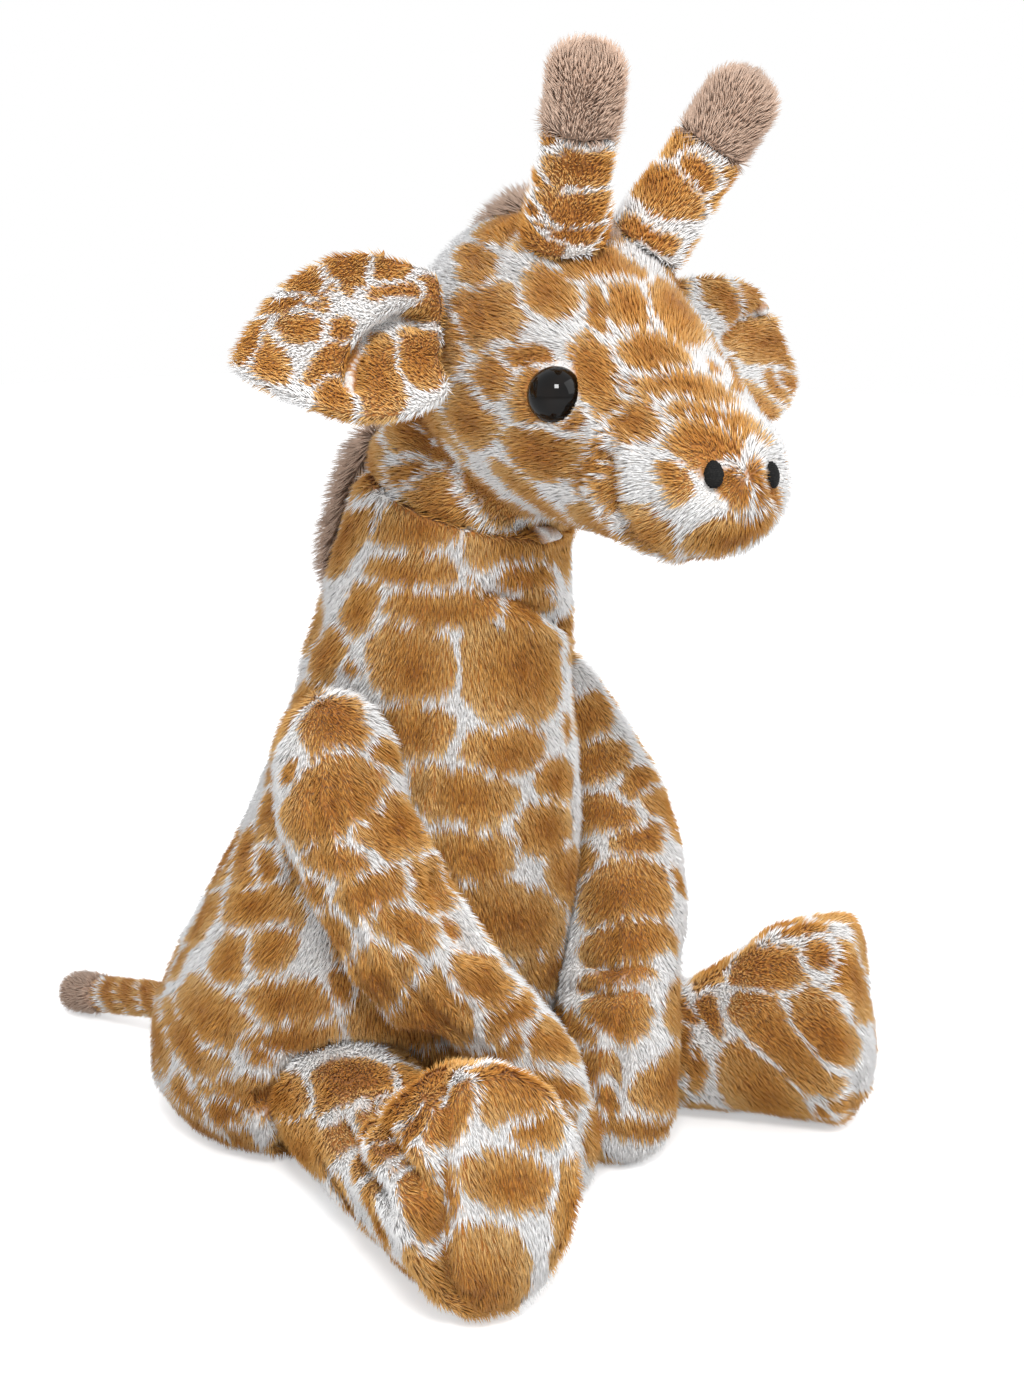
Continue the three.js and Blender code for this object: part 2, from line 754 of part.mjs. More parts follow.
const ears = sides_of_body.map(([side, sign]) => {
  const place = head.surface(ear_place_share, sign < 0 ? ear_angle_deg : 180 - ear_angle_deg);
  const hang = ear_hang_deg[side] * deg;
  const sweep = ear_sweep_deg * deg;
  const along = vec(sign * Math.cos(sweep), Math.sin(sweep), -Math.tan(hang)).normalize();
  const across_flat = new THREE.Vector3().crossVectors(along, Z).normalize();
  const roll = ear_roll_deg * deg * sign;
  const across = across_flat.clone().applyAxisAngle(along, roll);
  const up = new THREE.Vector3().crossVectors(across, along).normalize();
  if (up.z < 0) {
    up.negate();
  }
  const root = place.at.clone().addScaledVector(along, -ear_sink);
  const trim = swept(head_clear, place.at, Y, ear_range_deg);
  return {
    side,
    pivot: place.at,
    back: leaf(root, along, across, up, seam_gap).subtract(trim),
    lining: leaf(root, along, across, up, -ear_layer).subtract(trim),
  };
});

// Mane strips
function mane(form, from, to, angle, turn_at) {
  const length = (to - from) * form.length;
  const place = (s) => form.surface(from + s / form.length, angle);
  return stuffed({
    centre: (s) => place(Math.min(Math.max(s, 0), length)).at,
    tangent: (s) => place(Math.min(s + skin_wall, length)).at
      .sub(place(Math.max(s - skin_wall, 0)).at)
      .normalize(),
    up: turn_at,
    size: () => [mane_half_width, mane_rise],
    length,
    start_round: mane_rise,
    end_round: mane_rise,
    steps: mane_steps,
  }).solid(0, small_sides);
}
const body_clear = body.solid(seam_gap, body_sides);
const neck_mane = mane(body, neck_mane_from_share, neck_mane_to_share, 90, Y)
  .subtract(body_clear).intersect(below_seam(0));
const head_mane = mane(head, head_mane_from_share, head_mane_to_share, 90, Z)
  .subtract(head_clear)
  .intersect(above_seam(seam_gap))
  .subtract(horns[0].clear)
  .subtract(horns[1].clear);

// Arms
function arm_parts(sign) {
  const rows = arm_route_shares.map(([height_share, turn_deg, out_share]) => {
    const s = height_share * body_height;
    const centre = body_centre(s);
    const half_width = body_width_at(height_share) * body_half_width;
    const half_depth = body_depth_at(height_share) * body_half_depth;
    const reach = (half_width + half_depth) / 2 + out_share * arm_radius;
    const turn = turn_deg * deg;
    return vec(sign * reach * Math.sin(turn), centre.y - reach * Math.cos(turn), centre.z);
  });
  const root = arm_girth_shares[0][1] * arm_radius;
  const first = rows[1].clone().sub(rows[0]).normalize();
  rows.unshift(rows[0].clone().addScaledVector(first, -root));
  const shoulder = rows[1].clone();
  const route = new THREE.CatmullRomCurve3(rows, false, 'centripetal');
  const length = route.getLength();
  const girth_at = smooth(arm_girth_shares, 1);
  const form = stuffed({
    centre: (s) => route.getPointAt(Math.min(Math.max(s / length, 0), 1)),
    tangent: (s) => route.getTangentAt(Math.min(Math.max(s / length, 0), 1)),
    up: Y,
    size: (s) => [girth_at(s / length) * arm_radius, girth_at(s / length) * arm_radius],
    length,
    start_round: root,
    end_round: arm_radius,
    steps: arm_steps,
  });
  return { form, shoulder };
}
const arms = sides_of_body.map(([side, sign], i) => ({ side, leg: legs[i], ...arm_parts(sign) }));
const arm_axis = X.clone().negate();

const group = new THREE.Group();
const head_group = new THREE.Group();
head_group.position.copy(seam_middle);
head_group.setRotationFromAxisAngle(seam_up, head_turn_at_rest_deg * deg);
const head_inner = new THREE.Group();
head_inner.position.copy(seam_middle).negate();
head_group.add(head_inner);
group.add(head_group);

const add = (name, shape, material) => group.add(to_mesh(name, shape, material));
const add_head = (name, shape, material) => head_inner.add(to_mesh(name, shape, material));

add('body_skin', body_outside.subtract(body_inside), patterned_pile);
add('body_filling', body_stuffing, stuffing);
add('seat_pellet_bag', seat_bag(0), bag_cloth);
add('neck_mane', neck_mane, taupe_pile);
const tail_split = tail_root.clone().addScaledVector(tail_back, tail_length - tail_tip_length);
const tail_whole = tail_form.solid(0, small_sides).intersect(floor);
add('tail_sleeve', tail_whole.subtract(beyond(tail_split, tail_back)), patterned_pile);
const tail_tip_start = tail_split.clone().addScaledVector(tail_back, seam_gap);
add('tail_tip', tail_whole.intersect(beyond(tail_tip_start, tail_back)), taupe_pile);

for (const leg of legs) {
  const outside = leg.form.solid(0, limb_sides).intersect(floor);
  const inside = leg.form.solid(-skin_wall, limb_sides).intersect(above(skin_wall));
  const sole_cut = beyond(leg.sole_seam.clone().addScaledVector(leg.ahead, -seam_gap), leg.ahead);
  const bag_middle = leg.sole_seam.clone().addScaledVector(leg.ahead, -foot_bag_radius - 2 * stuffing_gap);
  bag_middle.z = skin_wall + foot_bag_half_height + foot_bag_lift;
  const foot_bag = (grow) => bag(grow, foot_bag_radius, foot_bag_half_height, 90, bag_middle);
  const filling = leg.form.solid(-skin_wall - stuffing_gap, limb_sides / 2)
    .intersect(above(skin_wall + stuffing_gap))
    .subtract(beyond(leg.sole_seam.clone().addScaledVector(leg.ahead, -2 * seam_gap), leg.ahead))
    .subtract(foot_bag(stuffing_gap));
  add(`leg_skin_${leg.side}`, outside.subtract(sole_cut).subtract(inside), patterned_pile);
  add(`sole_${leg.side}`, outside.intersect(beyond(leg.sole_seam, leg.ahead)), patterned_pile);
  add(`leg_filling_${leg.side}`, filling, stuffing);
  add(`foot_pellet_bag_${leg.side}`, foot_bag(0), bag_cloth);
}
for (const arm of arms) {
  const trim = swept(body_clear, arm.shoulder, arm_axis, shoulder_range_deg.map((angle) => -angle))
    .add(swept(arm.leg.form.solid(arm_to_leg_gap, limb_sides), arm.leg.hip, arm.leg.axis, arm_clears_leg_deg));
  const outside = arm.form.solid(0, limb_sides).subtract(trim);
  const inside = arm.form.solid(-skin_wall, limb_sides);
  const filling = arm.form.solid(-skin_wall - stuffing_gap, limb_sides / 2).subtract(trim);
  add(`arm_skin_${arm.side}`, outside.subtract(inside), patterned_pile);
  add(`arm_filling_${arm.side}`, filling, stuffing);
}
add_head('head_skin', head_skin, patterned_pile);
add_head('head_filling', head_stuffing, stuffing);
add_head('head_mane', head_mane, taupe_pile);
for (const eye of eyes) {
  add_head(`eye_${eye.side}`, eye.cap, eye_plastic);
  add_head(`eye_washer_${eye.side}`, eye.washer, washer_plastic);
}
for (const nostril of nostrils) {
  add_head(`nostril_${nostril.side}`, nostril.shape, nostril_thread);
}
for (const horn of horns) {
  add_head(`horn_sleeve_${horn.side}`, horn.sleeve, patterned_pile);
  add_head(`horn_tip_${horn.side}`, horn.tip, taupe_pile);
  add_head(`horn_filling_${horn.side}`, horn.filling, stuffing);
}
for (const ear of ears) {
  add_head(`ear_back_${ear.side}`, ear.back, patterned_pile);
  add_head(`ear_lining_${ear.side}`, ear.lining, patterned_pile);
}

export default group;
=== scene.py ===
"""A seated plush giraffe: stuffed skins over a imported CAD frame, with patterned, combed pile."""

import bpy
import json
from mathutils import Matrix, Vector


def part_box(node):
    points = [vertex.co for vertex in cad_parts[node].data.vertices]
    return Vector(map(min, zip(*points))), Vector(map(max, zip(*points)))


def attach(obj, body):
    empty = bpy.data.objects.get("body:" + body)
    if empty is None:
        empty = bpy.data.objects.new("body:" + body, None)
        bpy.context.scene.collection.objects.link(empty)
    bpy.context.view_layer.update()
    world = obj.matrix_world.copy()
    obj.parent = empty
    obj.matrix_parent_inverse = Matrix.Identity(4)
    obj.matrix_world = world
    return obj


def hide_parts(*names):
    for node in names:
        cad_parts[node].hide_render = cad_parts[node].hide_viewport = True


bl_info = {
    "name": "Plush Giraffe",
    "version": (1, 0, 0),
    "blender": (4, 5, 0),
    "location": "3D View > Sidebar > Giraffe",
    "description": "Builds a seated plush giraffe with stuffed skins and patterned, combed pile",
    "category": "Object",
}

import json
import math
from functools import cache

import bmesh
import bpy
import numpy as np
from bpy.props import FloatProperty, FloatVectorProperty, IntProperty, PointerProperty
from mathutils import Euler, Matrix, Vector, noise
from mathutils.bvhtree import BVHTree

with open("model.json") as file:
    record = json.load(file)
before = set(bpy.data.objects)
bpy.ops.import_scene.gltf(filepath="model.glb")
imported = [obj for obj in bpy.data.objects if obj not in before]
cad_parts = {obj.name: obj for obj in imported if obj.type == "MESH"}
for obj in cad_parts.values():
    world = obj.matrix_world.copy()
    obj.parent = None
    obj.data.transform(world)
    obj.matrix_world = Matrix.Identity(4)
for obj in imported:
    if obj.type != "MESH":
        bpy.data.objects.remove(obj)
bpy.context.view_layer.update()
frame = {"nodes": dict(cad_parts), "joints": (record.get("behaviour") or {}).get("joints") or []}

MM = 0.001
SIDES = ("right", "left")

# Steps of the cloth simulation, and the stiffness of the cloth
CLOTH_STEPS = 14
CLOTH_STIFFNESS = 2.0
# Gaps to another piece: where one counts as far, where cloth starts to move and where it is free
FAR_GAP = 30 * MM
STILL_GAP = 1 * MM
FREE_GAP = 8 * MM
# Gap where two pieces press on each other
PRESSED_GAP = 0.6 * MM
# Distance from a joint beyond which pressed cloth keeps some pile
JOINT_REACH = 40 * MM
# Lowest place of the cloth, and height under which its pile is trodden
FLOOR_GAP = 0.2 * MM
TRODDEN_HEIGHT = 2.5 * MM
# Shares of the way to its neighbours' mean that a point is moved in and then out in smoothing
STEP_IN = 0.5
STEP_OUT = 0.52
# Size of the soft lumps of the stuffing
LUMP_SIZE = 26 * MM
# How far a seen patch and a grown one reach over their oval
SEEN_REACH = 1.1
GROWN_REACH = 1.18
# Distance from a patch, in its own sizes, that stands for none near
FAR_OUT = 9.0
# Share of the pile on limbs where they press on a piece and on the floor
RUBBED = 0.4
TRODDEN = 0.3
# The way out from the nape, across the neck's slant
MANE_OUT = Vector((0, 0.93, 0.37))
# Height where the mane starts to stand proud, and the height over which it does
MANE_START = 176 * MM
MANE_RISE = 20 * MM
# Share of the eye that shows out of the cloth, and how deep the dome sits in it
EYE_SHOWN = 0.98
EYE_DEPTH = 1.2 * MM

# The photograph's camera
PHOTO_WIDTH = 1024
PHOTO_HEIGHT = 1378
FOCAL_PIXELS = 2156
SENSOR_SIZE = 36.0
CAMERA_PLACE = Vector((-0.5145, -0.4959, 0.286))
CAMERA_HEADING = math.radians(50.4)
CAMERA_PITCH = math.radians(11.0)
HEADING = Vector((math.sin(CAMERA_HEADING), math.cos(CAMERA_HEADING), 0))
CAMERA_RIGHT = Vector((math.cos(CAMERA_HEADING), -math.sin(CAMERA_HEADING), 0))
CAMERA_FORWARD = HEADING * math.cos(CAMERA_PITCH) - Vector((0, 0, math.sin(CAMERA_PITCH)))
CAMERA_UP = CAMERA_RIGHT.cross(CAMERA_FORWARD)

# Patches read off the photograph, in its pixels: centre x and y, half length, half width
# and the slant of the length in degrees, positive where its right end is lower
NECK_PATCHES = [
    (420, 437, 42, 20, 20), (374, 480, 17, 9, 70), (415, 474, 24, 14, -20), (492, 492, 46, 17, 33),
    (350, 535, 38, 14, 112), (422, 523, 42, 21, 0), (415, 568, 45, 16, 2), (528, 533, 50, 16, -3),
    (527, 568, 42, 20, -8), (450, 605, 58, 20, 0), (328, 597, 20, 11, -75), (362, 607, 30, 16, -60),
    (525, 608, 28, 14, 0), (415, 662, 40, 37, 0), (517, 668, 46, 45, -15), (328, 650, 30, 15, -62),
    (305, 643, 16, 6, -72), (302, 690, 17, 14, -60), (355, 662, 14, 6, 5), (412, 725, 34, 24, 5),
    (505, 746, 38, 25, 0), (558, 725, 14, 6, 90), (552, 775, 22, 18, 90), (463, 792, 50, 26, 10),
    (543, 825, 26, 24, 0), (560, 870, 28, 20, 90), (472, 853, 38, 24, 5), (508, 915, 58, 32, 12),
    (548, 965, 28, 19, -8), (289, 718, 18, 9, -75),
]
FLANK_PATCHES = [
    (279, 762, 22, 16, -70), (297, 770, 14, 6, -75), (270, 806, 27, 12, -80), (250, 852, 28, 10, -85),
    (228, 862, 25, 5, -62), (274, 862, 17, 12, 60), (208, 915, 32, 17, -60), (262, 903, 36, 19, 0),
    (276, 945, 27, 20, -50), (236, 955, 24, 17, -70), (186, 957, 18, 11, -60), (210, 1008, 38, 25, 50),
    (290, 995, 44, 20, -5), (192, 1035, 46, 17, 55), (285, 1036, 52, 14, -8), (262, 1050, 18, 12, 0),
    (352, 1075, 50, 22, -5), (277, 1096, 34, 22, 5), (297, 1145, 36, 27, 35), (226, 1108, 22, 17, 20),
    (195, 1095, 32, 10, 50), (162, 1052, 24, 6, 85), (245, 1138, 26, 12, 40),
]
NEAR_ARM_PATCHES = [
    (333, 725, 30, 25, -20), (332, 797, 54, 33, -35), (385, 750, 17, 12, 30), (398, 822, 30, 29, 0),
    (333, 857, 36, 17, 0), (370, 891, 38, 19, -28), (433, 882, 28, 14, 60), (405, 922, 30, 21, 25),
    (310, 886, 18, 6, 70), (375, 977, 28, 26, 0), (345, 980, 22, 14, 90), (425, 1015, 38, 34, 0),
    (412, 1075, 26, 19, 40), (479, 977, 36, 22, 42), (455, 925, 20, 8, 60), (512, 1010, 30, 17, -50),
    (545, 1036, 30, 17, 35), (566, 1018, 28, 12, 45), (492, 1050, 42, 9, 0), (575, 1070, 17, 12, 0),
]
FAR_ARM_PATCHES = [
    (567, 687, 10, 8, 90), (584, 714, 26, 21, -20), (596, 756, 31, 19, -12), (636, 780, 17, 14, -40),
    (602, 811, 36, 17, 0), (641, 838, 23, 15, -20), (582, 857, 15, 11, 90), (624, 891, 43, 29, -12),
    (672, 880, 16, 6, 70), (627, 939, 46, 19, -12), (686, 928, 18, 7, 85), (615, 973, 40, 11, -5),
    (677, 974, 21, 13, 45), (615, 1015, 32, 26, 0), (684, 1015, 26, 13, 50), (667, 1075, 32, 18, -70),
    (690, 1065, 30, 10, 85), (606, 1095, 25, 11, 80), (650, 1125, 48, 9, -12),
]
NEAR_LEG_PATCHES = [
    (513, 1178, 46, 26, 8), (470, 1280, 54, 50, 0), (572, 1262, 48, 32, -62), (583, 1180, 34, 22, -60),
    (541, 1125, 28, 19, 5), (553, 1087, 34, 14, 20), (505, 1066, 14, 6, 0), (452, 1112, 38, 16, -65),
    (450, 1185, 34, 7, 80), (428, 1212, 55, 20, 72), (412, 1125, 48, 8, -60), (362, 1140, 28, 11, -60),
    (383, 1140, 28, 11, -55), (335, 1185, 28, 10, 60), (372, 1215, 36, 9, 75), (415, 1285, 28, 9, 50),
    (385, 1103, 32, 13, -25),
]
FAR_LEG_PATCHES = [
    (762, 964, 38, 24, 5), (820, 957, 24, 20, 35), (857, 975, 40, 17, 75), (706, 1011, 24, 10, 85),
    (780, 1045, 66, 26, 42), (820, 1033, 48, 26, 50), (760, 1100, 48, 30, 50), (705, 1127, 26, 11, -10),
    (858, 1092, 24, 12, -70), (790, 928, 32, 5, -8), (745, 942, 22, 8, -25), (818, 1112, 16, 8, 50),
]
HEAD_PATCHES = [
    (478, 262, 22, 18, -60), (487, 312, 34, 30, 0), (495, 378, 27, 22, -40), (530, 358, 32, 13, 10),
    (470, 418, 30, 19, 50), (545, 450, 44, 24, 5), (575, 425, 22, 12, -45), (430, 425, 34, 25, 35),
    (548, 502, 62, 13, 36), (572, 236, 48, 10, -3), (600, 262, 52, 14, 8), (552, 288, 26, 22, 70),
    (603, 310, 30, 11, 80), (598, 378, 38, 25, 75), (637, 305, 28, 19, 55), (683, 310, 40, 20, 60),
    (658, 357, 28, 20, 25), (632, 388, 14, 9, 80), (690, 396, 46, 13, 14), (638, 428, 27, 20, -10),
    (718, 428, 44, 8, 18), (712, 452, 42, 20, 10), (735, 480, 32, 18, 70), (675, 478, 24, 14, 60),
    (592, 462, 34, 10, -62), (615, 495, 36, 13, 75), (650, 530, 34, 18, 30), (735, 528, 40, 16, -25),
    (748, 480, 40, 12, 85), (770, 490, 20, 7, 80), (711, 377, 8, 6, 90),
]
NEAR_EAR_PATCHES = [
    (415, 265, 38, 14, -8), (392, 290, 30, 8, -4), (300, 300, 42, 7, -20), (256, 338, 26, 9, -60),
    (302, 330, 20, 16, 10), (274, 365, 24, 15, 60), (340, 332, 16, 14, 0), (342, 358, 36, 13, -40),
    (340, 398, 19, 18, 0), (380, 378, 42, 22, 85), (422, 360, 30, 20, 70),
]
FAR_EAR_PATCHES = [
    (718, 300, 30, 13, 62), (750, 283, 28, 17, 0), (785, 292, 17, 13, 0), (765, 343, 36, 23, 5),
    (727, 380, 20, 6, 80),
]
NEAR_HORN_PATCHES = [
    (585, 133, 32, 9, 0), (585, 170, 33, 18, 0), (578, 212, 38, 17, -6), (550, 140, 20, 6, 80),
    (537, 178, 14, 7, 70), (535, 212, 12, 10, 0),
]
FAR_HORN_PATCHES = [
    (697, 172, 34, 12, 38), (655, 187, 38, 24, 15), (650, 237, 30, 8, 25), (672, 132, 12, 8, -50),
]

TAIL_RINGS = [(x, 987, 8, 24, 0) for x in (93, 109, 127, 147, 166)]

# Folds and seams read off the photograph, as lines of its pixels
NEAR_EAR_FOLD = [(420, 322), (403, 318), (385, 328), (367, 342), (356, 362), (352, 392)]
NEAR_EAR_ROLL = [(418, 292), (396, 296), (368, 306), (340, 328), (318, 352)]
FAR_EAR_FOLD = [(722, 340), (735, 325), (760, 310), (782, 300)]
FAR_EAR_ROLL = [(722, 306), (745, 295), (770, 284)]
NECK_FOLD = [(490, 590), (520, 598), (545, 610), (566, 624)]
MOUTH_FOLD = [(614, 462), (616, 490), (622, 512), (640, 534), (662, 546)]
JAW_FOLD = [(430, 440), (470, 482), (520, 520), (565, 545)]
BROW_FOLD = [(520, 366), (550, 356), (584, 370)]
NEAR_ELBOW_FOLD = [(430, 880), (450, 925), (470, 950)]
FAR_ELBOW_FOLDS = [[(575, 985), (610, 992), (648, 985)], [(580, 960), (615, 968), (650, 962)]]
SOLE_SEAM = [(440, 1075), (448, 1120), (443, 1180), (440, 1240), (452, 1300)]
ANKLE_FOLDS = [[(345, 1120), (372, 1165), (398, 1205)], [(372, 1110), (398, 1150), (418, 1185)],
               [(330, 1165), (352, 1200), (378, 1235)]]

ALL_PATCHES = (NECK_PATCHES + FLANK_PATCHES + NEAR_ARM_PATCHES + FAR_ARM_PATCHES + NEAR_LEG_PATCHES
               + FAR_LEG_PATCHES + HEAD_PATCHES + NEAR_EAR_PATCHES + FAR_EAR_PATCHES
               + NEAR_HORN_PATCHES + FAR_HORN_PATCHES)


def linear(red, green, blue):
    """A colour read on the photograph, 0 to 255, as linear values."""
    def channel(value):
        value /= 255
        return value / 12.92 if value <= 0.04045 else ((value + 0.055) / 1.055) ** 2.4
    return (channel(red), channel(green), channel(blue))


class GiraffePile(bpy.types.PropertyGroup):
    """Sizes and colours of the pile."""

    length: FloatProperty(
        name="Pile length", description="Length of a strand of the cut pile",
        default=4.4 * MM, unit="LENGTH")
    width: FloatProperty(
        name="Strand width", description="Width of a strand at its root",
        default=0.46 * MM, unit="LENGTH")
    per_area: FloatProperty(
        name="Strands", description="Strands on a square millimetre of cloth", default=1.9)
    lean: FloatProperty(
        name="Lean", description="How far the pile leans from upright along its nap",
        default=math.radians(56), subtype="ANGLE")
    tuft: FloatProperty(
        name="Tuft size", description="Size of the tufts that the pile parts into",
        default=9 * MM, unit="LENGTH")
    caramel_deep: FloatVectorProperty(
        name="Deep caramel", description="Colour in the middle of a patch",
        default=linear(172, 106, 38), subtype="COLOR")
    caramel: FloatVectorProperty(
        name="Caramel", description="Colour of a patch", default=linear(212, 154, 78), subtype="COLOR")
    caramel_pale: FloatVectorProperty(
        name="Pale caramel", description="Colour of the lightest strands of a patch",
        default=linear(242, 204, 142), subtype="COLOR")
    white_deep: FloatVectorProperty(
        name="Deep white", description="Colour of the shaded strands between patches",
        default=linear(238, 232, 228), subtype="COLOR")
    white: FloatVectorProperty(
        name="White", description="Colour of the strands between patches",
        default=linear(253, 252, 251), subtype="COLOR")
    taupe_deep: FloatVectorProperty(
        name="Deep taupe", description="Colour of the shaded mane", default=linear(172, 141, 120),
        subtype="COLOR")
    taupe: FloatVectorProperty(
        name="Taupe", description="Colour of the mane and horn tips", default=linear(226, 200, 180),
        subtype="COLOR")


class GiraffeForm(bpy.types.PropertyGroup):
    """Sizes of the stuffed skins."""

    voxel: FloatProperty(
        name="Remesh size", description="Size of the mesh that the skins are remeshed to",
        default=2.2 * MM, unit="LENGTH")
    fine_voxel: FloatProperty(
        name="Fine remesh size", description="The same for ears, horns, tail and mane",
        default=1.4 * MM, unit="LENGTH")
    smoothing: IntProperty(
        name="Smoothing", description="Rounds of smoothing after the remesh", default=14)
    pressure: FloatProperty(
        name="Pressure", description="Pressure of the stuffing on the skins", default=9.0)
    slack: FloatProperty(
        name="Slack", description="Share by which a skin is cut larger than its stuffing", default=0.05)
    puff_limit: FloatProperty(
        name="Puff limit", description="How far a point of a skin may move as it is stuffed",
        default=2.2 * MM, unit="LENGTH")
    inset: FloatProperty(
        name="Inset", description="How far the cloth lies inside the outline that its pile fills",
        default=1.3 * MM, unit="LENGTH")
    lumps: FloatProperty(
        name="Lumps", description="Height of the soft lumps of the stuffing",
        default=0.9 * MM, unit="LENGTH")
    eye_segments: IntProperty(
        name="Eye segments", description="Segments round an eye", default=56)
    stitches: IntProperty(
        name="Stitches", description="Threads across a nostril", default=15)


class GiraffeStage(bpy.types.PropertyGroup):
    """Light and floor."""

    floor_size: FloatProperty(
        name="Floor size", description="Side of the square floor", default=8.0, unit="LENGTH")
    lamp_size: FloatProperty(
        name="Lamp size", description="Side of the square key lamp", default=0.3, unit="LENGTH")
    lamp_distance: FloatProperty(
        name="Lamp distance", description="Distance of the key lamp from the eye", default=1.15,
        unit="LENGTH")
    key_power: FloatProperty(name="Key power", description="Power of the key lamp in watts", default=12.5)
    fill_power: FloatProperty(name="Fill power", description="Power of the fill lamp in watts", default=10.0)
    sky: FloatProperty(name="Sky", description="Strength of the light from all round", default=1.12)


def photo_ray(x, y):
    """The direction from the camera through a pixel of the photograph."""
    across = (x - PHOTO_WIDTH / 2) / FOCAL_PIXELS
    up = (PHOTO_HEIGHT / 2 - y) / FOCAL_PIXELS
    return (CAMERA_FORWARD + CAMERA_RIGHT * across + CAMERA_UP * up).normalized()


def unit(vectors):
    """The rows of an array at length one."""
    return vectors / np.maximum(np.linalg.norm(vectors, axis=1, keepdims=True), 1e-9)


def smooth_step(low, high, values):
    """0 below low, 1 above high and a soft slope between."""
    share = np.clip((values - low) / (high - low), 0, 1)
    return share * share * (3 - 2 * share)


def node_mesh(nodes):
    """The points and faces of CAD nodes as one list each."""
    points, faces = [], []
    for node in nodes:
        mesh = frame["nodes"][node].data
        base = len(points)
        points.extend(vertex.co.copy() for vertex in mesh.vertices)
        faces.extend([base + corner for corner in face.vertices] for face in mesh.polygons)
    return points, faces


def node_tree(nodes):
    """A tree of CAD nodes' faces for finding near places."""
    return BVHTree.FromPolygons(*node_mesh(nodes))


def linked(name, mesh):
    """A new object in the scene."""
    piece = bpy.data.objects.new(name, mesh)
    bpy.context.scene.collection.objects.link(piece)
    return piece


def values_of(items, key, width=3, kind=float):
    """One value of all points, edges or normals, as the rows of an array."""
    values = np.empty(len(items) * width, dtype=kind)
    items.foreach_get(key, values)
    return values.reshape(-1, width)


def baked(piece):
    """Turns a piece with modifiers into a plain mesh."""
    depsgraph = bpy.context.evaluated_depsgraph_get()
    mesh = bpy.data.meshes.new_from_object(piece.evaluated_get(depsgraph))
    piece.modifiers.clear()
    old = piece.data
    piece.data = mesh
    bpy.data.meshes.remove(old)
    mesh.name = piece.name
    return piece


